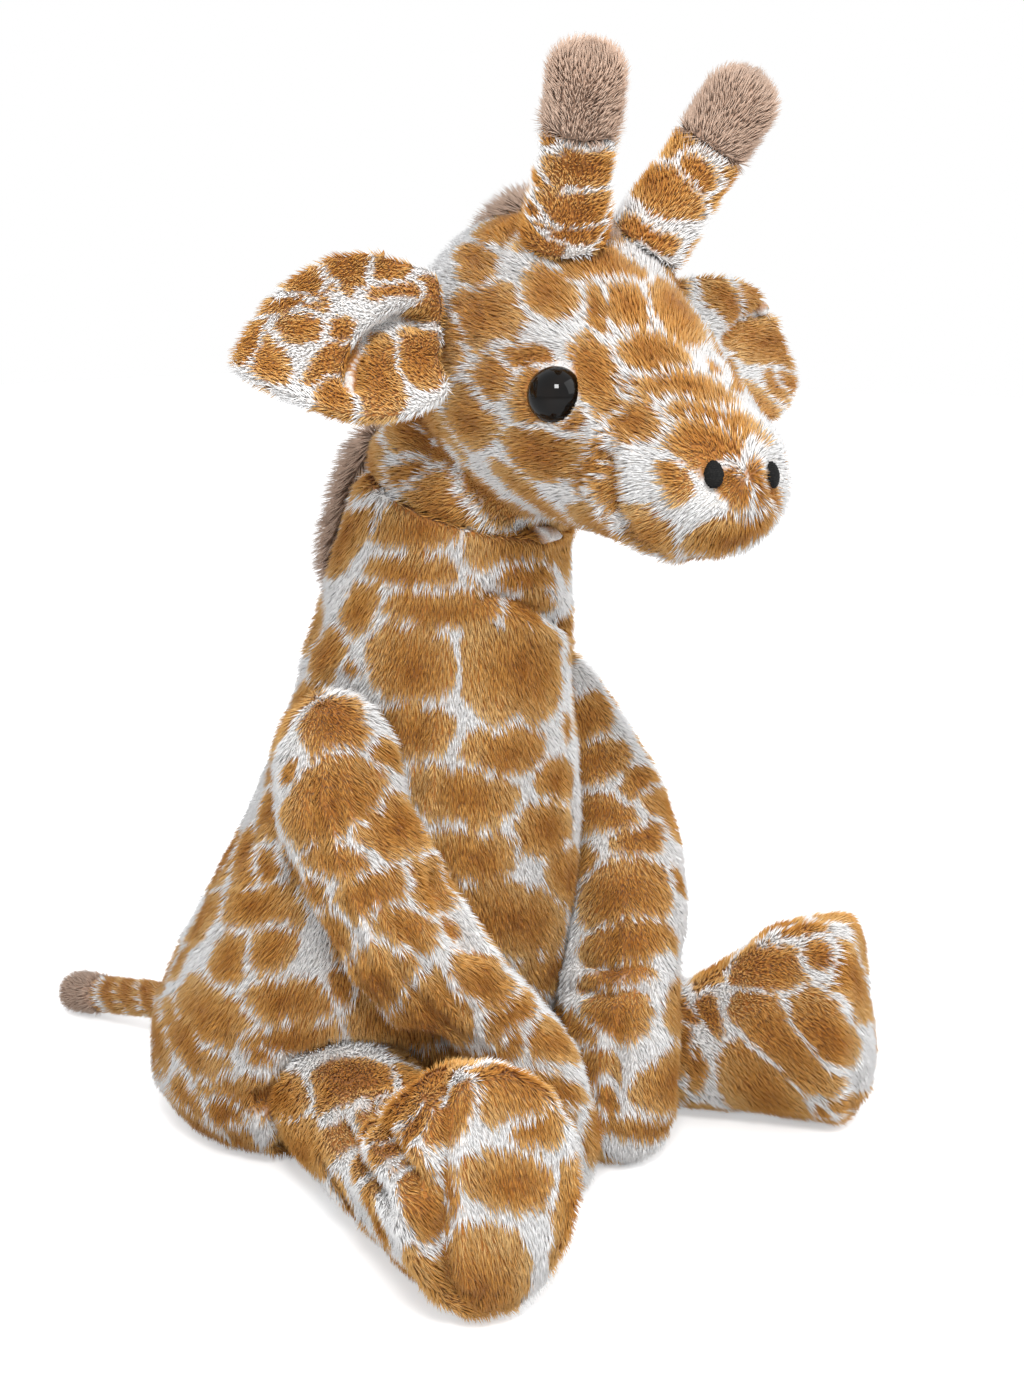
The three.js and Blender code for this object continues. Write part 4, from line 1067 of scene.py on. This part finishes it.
def plain_cover(name, body, nodes, way, seed, length=1.0, density=1.0, lean=1.0, inset=0.0, rise=None,
                shape=None):
    """One stuffed form with plain taupe pile."""
    form = bpy.context.scene.giraffe_form
    skin = Skin(name, nodes, form.fine_voxel, form.smoothing)
    skin.sink(form.inset * inset)
    if shape:
        shape(skin)
    upper = np.ones(len(skin.points))
    if rise:
        upper = smooth_step(MANE_START, MANE_START + MANE_RISE, skin.points[:, 2])
        skin.move(np.outer(upper, np.array(rise)))
    tone, low_share = 0.25, 0.35
    heights = pile_heights(skin, node_tree(other_nodes(nodes)), (), wide=2 * MM)
    skin.store("patch", np.zeros(len(skin.points)))
    skin.store("tone", np.full(len(skin.points), tone))
    skin.store("nap", nap_of(skin, way))
    skin.store("pile", heights * (low_share + (1 - low_share) * upper))
    grow_pile(skin, name, body, "taupe_pile", seed, length=length, density=density, lean=lean)
    dress(skin, body, "taupe_pile", *nodes)


def middle(node):
    """The middle of a CAD node's box."""
    low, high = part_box(node)
    return (Vector(low) + Vector(high)) / 2


def node_points(node):
    """A CAD node's points as an array."""
    return values_of(frame["nodes"][node].data.vertices, "co")


def joint(name):
    """A joint's place and axis."""
    found = next(entry for entry in frame["joints"] if entry["name"] == name)
    return Vector(found["pos_m"]), Vector(found["axis"])


class Piece(bpy.types.Operator):
    """What the operators share."""

    bl_options = {"REGISTER", "UNDO"}


def sunk_before_horns(skin):
    """Lets the crest run down into the skull between the horns."""
    start, full, depth = 74 * MM, 96 * MM, 8 * MM
    skin.points[:, 2] -= depth * smooth_step(start, full, -skin.points[:, 1])
    skin.write()


def drawn_to_neck(skin):
    """Draws the head's cloth in where it is sewn to the neck, and down over the seam."""
    slimmed, slim_zone = 1.2 * MM, (4 * MM, 26 * MM)
    lowered, low_zone = 2.4 * MM, (2 * MM, 16 * MM)
    place, axis = joint("head_turn")
    above = (skin.points - np.array(place)) @ np.array(axis)
    skin.points -= skin.normals * (slimmed * (1 - smooth_step(*slim_zone, above)))[:, None]
    skin.points -= np.outer(lowered * (1 - smooth_step(*low_zone, above)), np.array(axis))
    skin.write()


def fuller_rump(skin):
    """Draws the nape in beside the mane and fills the rump out, which sags wide on its seat."""
    drawn_in, nape_zone, back_zone, slant = 7 * MM, (150 * MM, 190 * MM), (-30 * MM, 0), 0.4
    filled_out, rump_zone, floor_zone = 3.2 * MM, (35 * MM, 95 * MM), (0, 9 * MM)
    centre = middle("neck_mane")
    heights = skin.points[:, 2]
    back = skin.points[:, 1] - centre.y + slant * (heights - centre.z)
    nape = smooth_step(*nape_zone, heights) * smooth_step(*back_zone, back)
    skin.move(-np.outer(nape * drawn_in, np.array(MANE_OUT)))
    heights = skin.points[:, 2]
    rump = (1 - smooth_step(*rump_zone, heights)) * smooth_step(*floor_zone, heights)
    skin.swell(filled_out * rump)


def stretched(root, tip, share):
    """The shape of an ear that its cloth's weight lengthens from its root."""
    stiff = 8 * MM
    along = np.array((tip - root).normalized())

    def shape(skin):
        reach = np.maximum((skin.points - np.array(root)) @ along - stiff, 0)
        skin.move(np.outer(reach * share, along))
    return shape


class GIRAFFE_OT_body(Piece):
    """Body and neck in one stuffed skin, with the neck's fold, and its pile."""

    bl_idname = "giraffe.body"
    bl_label = "Body and Neck"

    def execute(self, context):
        """Makes the piece."""
        nodes = ("body_skin", "body_filling", "seat_pellet_bag")
        cover("body", "torso", nodes, NECK_PATCHES + FLANK_PATCHES, way=(0.0, 0.1, -1.0), seed=1,
              grown=(15 * MM, 9.5 * MM), folds=((NECK_FOLD, 4.2 * MM, 3.4 * MM),), bands=4,
              shape=fuller_rump, stuffed=True, rubbed=RUBBED)
        return {"FINISHED"}


class GIRAFFE_OT_head(Piece):
    """Head skin with its mouth, brow and jaw folds, and its pile."""

    bl_idname = "giraffe.head"
    bl_label = "Head"

    def execute(self, context):
        """Makes the piece."""
        nodes = ("head_skin", "head_filling")
        muzzle = (middle("nostril_right") + middle("nostril_left")) / 2
        back = (middle("head_skin") - muzzle).normalized()

        def way(point):
            """From the muzzle back, and down on the sides."""
            drop, spread = -0.45, 0.6
            away = Vector(point) - muzzle
            return back + Vector((0, 0, drop)) + away.normalized() * spread

        bare = [(middle(f"eye_{side}"), 6.9 * MM, 11 * MM) for side in SIDES]
        bare += [(middle(f"nostril_{side}"), 3.2 * MM, 9 * MM) for side in SIDES]
        folds = (
            (MOUTH_FOLD, 6.5 * MM, 3.2 * MM),
            (JAW_FOLD, 2.4 * MM, 4 * MM),
            (BROW_FOLD, 1.8 * MM, 3.5 * MM),
        )
        cover("head", "head", nodes, HEAD_PATCHES, way, seed=2, grown=(13 * MM, 9 * MM), bare=bare,
              folds=folds, bands=2, density=1.15, length=0.92, shape=drawn_to_neck, stuffed=True)
        return {"FINISHED"}


class GIRAFFE_OT_ears(Piece):
    """Ears, folded at the root, with pile on both faces."""

    bl_idname = "giraffe.ears"
    bl_label = "Ears"

    def execute(self, context):
        """Makes the pieces."""
        form = context.scene.giraffe_form
        folds = {
            "right": ((NEAR_EAR_ROLL, -2.6 * MM, 6 * MM), (NEAR_EAR_FOLD, 5 * MM, 3.2 * MM)),
            "left": ((FAR_EAR_ROLL, -1.5 * MM, 6 * MM), (FAR_EAR_FOLD, 2.5 * MM, 3.5 * MM)),
        }
        stretch = {"right": 0.0, "left": 0.16}
        for number, (side, patches) in enumerate(zip(SIDES, (NEAR_EAR_PATCHES, FAR_EAR_PATCHES))):
            root, _ = joint(f"ear_flop_{side}")
            points = node_points(f"ear_back_{side}")
            tip = Vector(max(points, key=lambda point: (Vector(point) - root).length))
            cover(f"ear_{side}", f"ear_{side}", (f"ear_back_{side}", f"ear_lining_{side}"), patches,
                  tuple(tip - root), seed=5 + number, grown=(9 * MM, 6.5 * MM), voxel=form.fine_voxel,
                  lumps=0.4, white_line=2.2 * MM, length=0.85, inset=0.5, folds=folds[side],
                  shape=stretched(root, tip, stretch[side]))
        return {"FINISHED"}


class GIRAFFE_OT_horns(Piece):
    """Horn sleeves and their taupe tips."""

    bl_idname = "giraffe.horns"
    bl_label = "Horns"

    def execute(self, context):
        """Makes the pieces."""
        form = context.scene.giraffe_form
        for number, (side, patches) in enumerate(zip(SIDES, (NEAR_HORN_PATCHES, FAR_HORN_PATCHES))):
            up = (middle(f"horn_tip_{side}") - middle(f"horn_sleeve_{side}")).normalized()
            cover(f"horn_{side}", "head", (f"horn_sleeve_{side}", f"horn_filling_{side}"), patches,
                  tuple(up), seed=9 + number, grown=(12 * MM, 6 * MM), voxel=form.fine_voxel,
                  lumps=0.4, white_line=2.2 * MM, length=0.8, lean=0.8, inset=0.6)
            plain_cover(f"horn_tip_{side}", "head", (f"horn_tip_{side}",), tuple(up),
                        seed=12 + number, lean=0.9, inset=0.6, density=1.2)
        return {"FINISHED"}


class GIRAFFE_OT_arms(Piece):
    """Arm skins with their elbow folds, and their pile."""

    bl_idname = "giraffe.arms"
    bl_label = "Arms"

    def execute(self, context):
        """Makes the pieces."""
        folds = {
            "right": ((NEAR_ELBOW_FOLD, 3.4 * MM, 4 * MM),),
            "left": tuple((line, 2.8 * MM, 3 * MM) for line in FAR_ELBOW_FOLDS),
        }
        paw_height = 30 * MM
        for number, (side, patches) in enumerate(zip(SIDES, (NEAR_ARM_PATCHES, FAR_ARM_PATCHES))):
            shoulder, _ = joint(f"shoulder_{side}")
            points = node_points(f"arm_skin_{side}")
            paw = Vector(points[points[:, 2] < paw_height].mean(axis=0))
            cover(f"arm_{side}", f"arm_{side}", (f"arm_skin_{side}", f"arm_filling_{side}"), patches,
                  tuple((paw - shoulder).normalized()), seed=15 + number, grown=(12 * MM, 8.5 * MM),
                  folds=folds[side], white_line=2.5 * MM, stuffed=True, rubbed=RUBBED, trodden=TRODDEN)
        return {"FINISHED"}


class GIRAFFE_OT_legs(Piece):
    """Leg skins with their soles, sole seams and ankle folds, and their pile."""

    bl_idname = "giraffe.legs"
    bl_label = "Legs"

    def execute(self, context):
        """Makes the pieces."""
        folds = {
            "right": ((SOLE_SEAM, 2.8 * MM, 3 * MM),) + tuple(
                (line, 4.2 * MM, 3.4 * MM) for line in ANKLE_FOLDS),
            "left": (),
        }
        drop = Vector((0, 0, -0.6))
        for number, (side, patches) in enumerate(zip(SIDES, (NEAR_LEG_PATCHES, FAR_LEG_PATCHES))):
            hip, _ = joint(f"hip_{side}")
            way = (middle(f"sole_{side}") - hip).normalized() + drop
            nodes = (f"leg_skin_{side}", f"sole_{side}", f"leg_filling_{side}", f"foot_pellet_bag_{side}")
            cover(f"leg_{side}", f"leg_{side}", nodes, patches, tuple(way),
                  seed=18 + number, grown=(14 * MM, 10 * MM), folds=folds[side], white_line=2.5 * MM,
                  stuffed=True, rubbed=RUBBED, trodden=TRODDEN)
        return {"FINISHED"}


class GIRAFFE_OT_tail(Piece):
    """Tail sleeve with its stripes, and its taupe end."""

    bl_idname = "giraffe.tail"
    bl_label = "Tail"

    def execute(self, context):
        """Makes the pieces."""
        form = context.scene.giraffe_form
        back = (middle("tail_tip") - middle("tail_sleeve")).normalized()
        cover("tail", "tail", ("tail_sleeve",), TAIL_RINGS, tuple(back), seed=21,
              grown=(7 * MM, 3.6 * MM), voxel=form.fine_voxel, lumps=0.2, white_line=1.6 * MM,
              length=0.75, inset=0.6)
        plain_cover("tail_end", "tail", ("tail_tip",), tuple(back), seed=22, length=0.8)
        return {"FINISHED"}


class GIRAFFE_OT_manes(Piece):
    """Mane on the nape and crest on the head."""

    bl_idname = "giraffe.manes"
    bl_label = "Manes"

    def execute(self, context):
        """Makes the pieces."""
        plain_cover("mane_on_neck", "torso", ("neck_mane",), way=(0.0, 0.75, -0.6), seed=24, length=1.9,
                    lean=0.7, rise=MANE_OUT * 4.5 * MM, density=1.3)
        plain_cover("mane_on_head", "head", ("head_mane",), way=(0.0, 0.9, 0.2), seed=25, length=1.4,
                    lean=0.7, density=1.3, shape=sunk_before_horns)
        return {"FINISHED"}


def eye_finish():
    """Near black plastic with a hard gloss."""
    finish, tree, shader = material("eye_gloss")
    cloud = out(noise_over(tree, object_place(tree), 180.0, 2.0))
    put_in(tree, shader, {
        "Base Color": ramp(tree, cloud, [(0.35, linear(3, 3, 3)), (0.8, linear(16, 11, 8))]),
        "Roughness": maths(tree, "MULTIPLY_ADD", cloud, 0.02, 0.03),
        "Specular IOR Level": 0.2,
    })
    return finish


def washer_finish():
    """Pale moulded plastic."""
    finish, tree, shader = material("washer_moulded")
    speck = add_node(tree, "ShaderNodeTexNoise", {"Scale": 900.0, "Detail": 3.0})
    tint = ramp(tree, out(speck), [(0.3, linear(214, 214, 208)), (0.7, linear(232, 232, 228))])
    put_in(tree, shader, {"Base Color": tint, "Roughness": 0.5})
    return finish


def eye_measures(side):
    """The middle of an eye's washer, the way out of the head, and the eye's radius and top."""
    washer = node_points(f"eye_washer_{side}").mean(axis=0)
    offsets = node_points(f"eye_{side}") - washer
    way = Vector(offsets.mean(axis=0)).normalized()
    along = offsets @ np.array(way)
    across = np.linalg.norm(offsets - np.outer(along, way), axis=1)
    return Vector(washer), way, across.max() * EYE_SHOWN, along.max()


def dome(radius, top):
    """The outline of a domed eye, as radius and height from its back to its top."""
    height_share, back_share, wall, bevel, steps = 0.96, 0.94, 1 * MM, 0.3 * MM, 14
    height = radius * height_share
    rim = top - height
    base = rim - wall
    profile = [(0.0, base), (radius * back_share, base), (radius, base + bevel), (radius, rim)]
    for step in range(1, steps):
        angle = step / steps * math.pi / 2
        profile.append((radius * math.cos(angle), rim + height * math.sin(angle)))
    return profile + [(0.0, top)]


class GIRAFFE_OT_eyes(Piece):
    """Glossy dome eyes, and the look of the washers behind them."""

    bl_idname = "giraffe.eyes"
    bl_label = "Eyes"

    def execute(self, context):
        """Makes the pieces."""
        gloss = eye_finish()
        moulded = washer_finish()
        for side in SIDES:
            washer, way, radius, top = eye_measures(side)
            eye = turned_piece(f"eye_dome_{side}", dome(radius, top),
                               context.scene.giraffe_form.eye_segments, washer - way * EYE_DEPTH, way)
            eye.data.materials.append(gloss)
            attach(eye, "head")
            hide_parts(f"eye_{side}")
            frame["nodes"][f"eye_washer_{side}"].data.materials[0] = moulded
        return {"FINISHED"}


def turned_piece(name, profile, segments, start, way):
    """A closed form turned about an axis: rows of radius and height."""
    turn = Vector((0, 0, 1)).rotation_difference(way).to_matrix().to_4x4()
    matrix = Matrix.Translation(start) @ turn
    points, faces = [], []
    for radius, height in profile:
        if radius == 0:
            points.append(matrix @ Vector((0, 0, height)))
            continue
        for i in range(segments):
            angle = i / segments * math.tau
            points.append(matrix @ Vector((radius * math.cos(angle), radius * math.sin(angle), height)))
    rows = len(profile) - 2
    last = len(points) - 1
    for i in range(segments):
        following = (i + 1) % segments
        faces.append((0, 1 + following, 1 + i))
        for row in range(rows - 1):
            near, far = 1 + row * segments, 1 + (row + 1) * segments
            faces.append((near + i, near + following, far + following, far + i))
        faces.append((last, last - segments + i, last - segments + following))
    mesh = bpy.data.meshes.new(name)
    mesh.from_pydata(points, [], faces)
    mesh.polygons.foreach_set("use_smooth", [True] * len(mesh.polygons))
    mesh.update()
    return linked(name, mesh)


STITCH_INPUTS = (
    ("Threads", "NodeSocketInt", "Threads side by side"),
    ("Thread Radius", "NodeSocketFloat", "Radius of a thread"),
    ("Finish", "NodeSocketMaterial", "Material of the threads"),
)


def stitch_tree():
    """Geometry Nodes: satin stitches side by side over an oval dome of half size one."""
    outermost, shortest, longest = 0.93, 0.9, 1.04
    tree, given = modifier_tree("Satin Stitches", STITCH_INPUTS)
    row = add_node(tree, "GeometryNodeMeshLine",
                   {"Count": given.outputs["Threads"], "Start Location": (-outermost, 0.0, 0.0),
                    "Offset": (outermost, 0.0, 0.0)}, mode="END_POINTS")
    place = out(add_node(tree, "GeometryNodeInputPosition"))
    across = out(add_node(tree, "ShaderNodeSeparateXYZ", {0: place}), "X")
    chord = maths(tree, "SQRT", maths(tree, "SUBTRACT", 1.0, maths(tree, "MULTIPLY", across, across)))
    uneven = add_node(tree, "FunctionNodeRandomValue", {"Min": shortest, "Max": longest, "Seed": 3},
                      data_type="FLOAT")
    reach = maths(tree, "MULTIPLY", chord, out(uneven, "Value"))
    size = out(add_node(tree, "ShaderNodeCombineXYZ", {"X": 1.0, "Y": reach, "Z": chord}))
    bow = add_node(tree, "GeometryNodeCurveArc",
                   {"Resolution": 11, "Radius": 1.0, "Start Angle": 0.0, "Sweep Angle": math.pi})
    stood_up = add_node(tree, "GeometryNodeTransform",
                        {"Geometry": out(bow), "Rotation": (math.pi / 2, 0.0, math.pi / 2)})
    bows = add_node(tree, "GeometryNodeInstanceOnPoints",
                    {"Points": out(row), "Instance": out(stood_up), "Scale": size})
    curves = add_node(tree, "GeometryNodeRealizeInstances", {"Geometry": out(bows)})
    section = add_node(tree, "GeometryNodeCurvePrimitiveCircle",
                       {"Resolution": 6, "Radius": given.outputs["Thread Radius"]})
    threads = add_node(tree, "GeometryNodeCurveToMesh",
                       {"Curve": out(curves), "Profile Curve": out(section), "Fill Caps": True})
    end_tree(tree, out(threads), given.outputs["Finish"])
    return tree


def thread_finish():
    """Black twisted thread."""
    finish, tree, shader = material("nostril_thread_twist")
    twist = out(noise_over(tree, object_place(tree), 2600.0, 3.0))
    bump = add_node(tree, "ShaderNodeBump", {"Height": twist, "Strength": 0.5, "Distance": 0.3 * MM})
    put_in(tree, shader, {
        "Base Color": ramp(tree, twist, [(0.35, linear(5, 5, 5)), (0.7, linear(26, 25, 24))]),
        "Roughness": 0.8,
        "Specular IOR Level": 0.2,
        "Normal": out(bump),
    })
    return finish


class GIRAFFE_OT_nostrils(Piece):
    """Nostrils in black satin stitches."""

    bl_idname = "giraffe.nostrils"
    bl_label = "Nostrils"

    def execute(self, context):
        """Makes the pieces."""
        wider, shorter, height, depth, thread_radius = 1.2, 0.68, 2.0 * MM, 1.0 * MM, 0.11
        thread = thread_finish()
        stitches = stitch_tree()
        for side in SIDES:
            points = node_points(f"nostril_{side}")
            centre = points.mean(axis=0)
            _, _, axes = np.linalg.svd(points - centre)
            tall, wide, out_way = (Vector(axis) for axis in axes)
            if out_way.dot(Vector(centre) - middle("head_skin")) < 0:
                out_way.negate()
            half_wide, half_tall = (np.ptp((points - centre) @ np.array(axis)) / 2 for axis in (wide, tall))
            wide = tall.cross(out_way)
            piece = linked(f"nostril_stitches_{side}", bpy.data.meshes.new("start"))
            run_tree(piece, stitches, {
                "Threads": context.scene.giraffe_form.stitches,
                "Thread Radius": thread_radius,
                "Finish": thread,
            })
            basis = Matrix((wide * half_wide * wider, tall * half_tall * shorter, out_way * height))
            back = Matrix.Translation(Vector(centre) - out_way * depth)
            piece.data.transform(back @ basis.transposed().to_4x4())
            piece.data.update()
            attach(piece, "head")
            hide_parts(f"nostril_{side}")
        return {"FINISHED"}


class GIRAFFE_OT_stage(Piece):
    """Pale floor, soft light and the camera of the photograph."""

    bl_idname = "giraffe.stage"
    bl_label = "Stage"

    def execute(self, context):
        """Makes the stage."""
        stage = context.scene.giraffe_stage
        half, low, glow = stage.floor_size / 2, -0.3 * MM, 0.45
        mesh = bpy.data.meshes.new("floor")
        mesh.from_pydata([(-half, -half, low), (half, -half, low), (half, half, low), (-half, half, low)],
                         [], [(0, 1, 2, 3)])
        floor = linked("floor", mesh)
        finish, tree, shader = material("pale_floor")
        seen = add_node(tree, "ShaderNodeLightPath")
        put_in(tree, shader, {
            "Base Color": (0.72, 0.72, 0.72, 1),
            "Roughness": 0.9,
            "Specular IOR Level": 0.1,
            "Emission Color": (1, 1, 1, 1),
            "Emission Strength": maths(tree, "MULTIPLY", out(seen, "Is Camera Ray"), glow),
        })
        mesh.materials.append(finish)

        world = bpy.data.worlds.new("studio")
        world.use_nodes = True
        context.scene.world = world
        sky = world.node_tree
        sky.nodes.clear()
        path = add_node(sky, "ShaderNodeLightPath")
        shown = maths(sky, "MAXIMUM", out(path, "Is Camera Ray"), out(path, "Is Transmission Ray"))
        light = add_node(sky, "ShaderNodeBackground", {"Color": (0.97, 0.98, 1.0, 1), "Strength": stage.sky})
        backdrop = add_node(sky, "ShaderNodeBackground", {"Color": (1, 1, 1, 1), "Strength": 1.0})
        mixed_sky = add_node(sky, "ShaderNodeMixShader", {"Fac": shown, 1: out(light), 2: out(backdrop)})
        add_node(sky, "ShaderNodeOutputWorld", {"Surface": out(mixed_sky)})

        data = bpy.data.cameras.new("camera")
        data.lens = SENSOR_SIZE * FOCAL_PIXELS / PHOTO_HEIGHT
        data.sensor_width = SENSOR_SIZE
        data.clip_start = 0.01
        camera = bpy.data.objects.new("camera", data)
        camera.location = CAMERA_PLACE
        camera.rotation_euler = Euler((math.pi / 2 - CAMERA_PITCH, 0, -CAMERA_HEADING))
        context.scene.collection.objects.link(camera)
        context.scene.camera = camera

        # The key lamp stands where the near eye mirrors it
        eye_centre = middle("eye_right")
        to_camera = (CAMERA_PLACE - eye_centre).normalized()
        key_up, key_right = 0.62, 0.03
        key_way = (to_camera + CAMERA_UP * key_up + CAMERA_RIGHT * key_right).normalized()
        self.lamp(context, "key", eye_centre + key_way * stage.lamp_distance, eye_centre, stage.lamp_size,
                  stage.key_power)
        # The fill lamp gives no highlight and stands to the camera's right
        fill_right, fill_up, fill_back, fill_distance, fill_size = 0.9, 0.55, 0.35, 1.6, 1.2
        side_way = CAMERA_RIGHT * fill_right + Vector((0, 0, fill_up)) - HEADING * fill_back
        side_way.normalize()
        target = Vector((0, 0, 0.15))
        fill = self.lamp(context, "fill", target + side_way * fill_distance, target, fill_size,
                         stage.fill_power)
        fill.specular_factor = 0
        context.scene.view_settings.view_transform = "Standard"
        return {"FINISHED"}

    @staticmethod
    def lamp(context, name, place, target, size, power):
        """A square area lamp that looks at a target."""
        data = bpy.data.lights.new(name, "AREA")
        data.shape = "SQUARE"
        data.size = size
        data.energy = power
        lamp = bpy.data.objects.new(name, data)
        lamp.location = place
        lamp.rotation_euler = (place - target).to_track_quat("Z", "Y").to_euler()
        context.scene.collection.objects.link(lamp)
        return data


OPERATORS = (
    GIRAFFE_OT_body, GIRAFFE_OT_head, GIRAFFE_OT_ears, GIRAFFE_OT_horns, GIRAFFE_OT_arms,
    GIRAFFE_OT_legs, GIRAFFE_OT_tail, GIRAFFE_OT_manes, GIRAFFE_OT_eyes, GIRAFFE_OT_nostrils,
    GIRAFFE_OT_stage,
)


class GIRAFFE_PT_panel(bpy.types.Panel):
    """The sidebar panel that lists the pieces and their sizes."""

    bl_label = "Plush Giraffe"
    bl_idname = "GIRAFFE_PT_panel"
    bl_space_type = "VIEW_3D"
    bl_region_type = "UI"
    bl_category = "Giraffe"

    def draw(self, context):
        """Lists the values and the buttons."""
        layout = self.layout
        for group in (context.scene.giraffe_pile, context.scene.giraffe_form, context.scene.giraffe_stage):
            column = layout.column(align=True)
            for key in group.__annotations__:
                column.prop(group, key)
        for operator in OPERATORS:
            layout.operator(operator.bl_idname)


GROUPS = (("giraffe_pile", GiraffePile), ("giraffe_form", GiraffeForm), ("giraffe_stage", GiraffeStage))


def register():
    """Registers the groups, the operators and the panel."""
    for name, group in GROUPS:
        bpy.utils.register_class(group)
        setattr(bpy.types.Scene, name, PointerProperty(type=group))
    for operator in OPERATORS:
        bpy.utils.register_class(operator)
    bpy.utils.register_class(GIRAFFE_PT_panel)


def unregister():
    """Removes what register added."""
    bpy.utils.unregister_class(GIRAFFE_PT_panel)
    for operator in reversed(OPERATORS):
        bpy.utils.unregister_class(operator)
    for name, group in reversed(GROUPS):
        delattr(bpy.types.Scene, name)
        bpy.utils.unregister_class(group)


def main():
    """Makes every piece and the stage."""
    register()
    for operator in OPERATORS:
        group, name = operator.bl_idname.split(".")
        getattr(getattr(bpy.ops, group), name)()


if __name__ == "__main__":
    main()
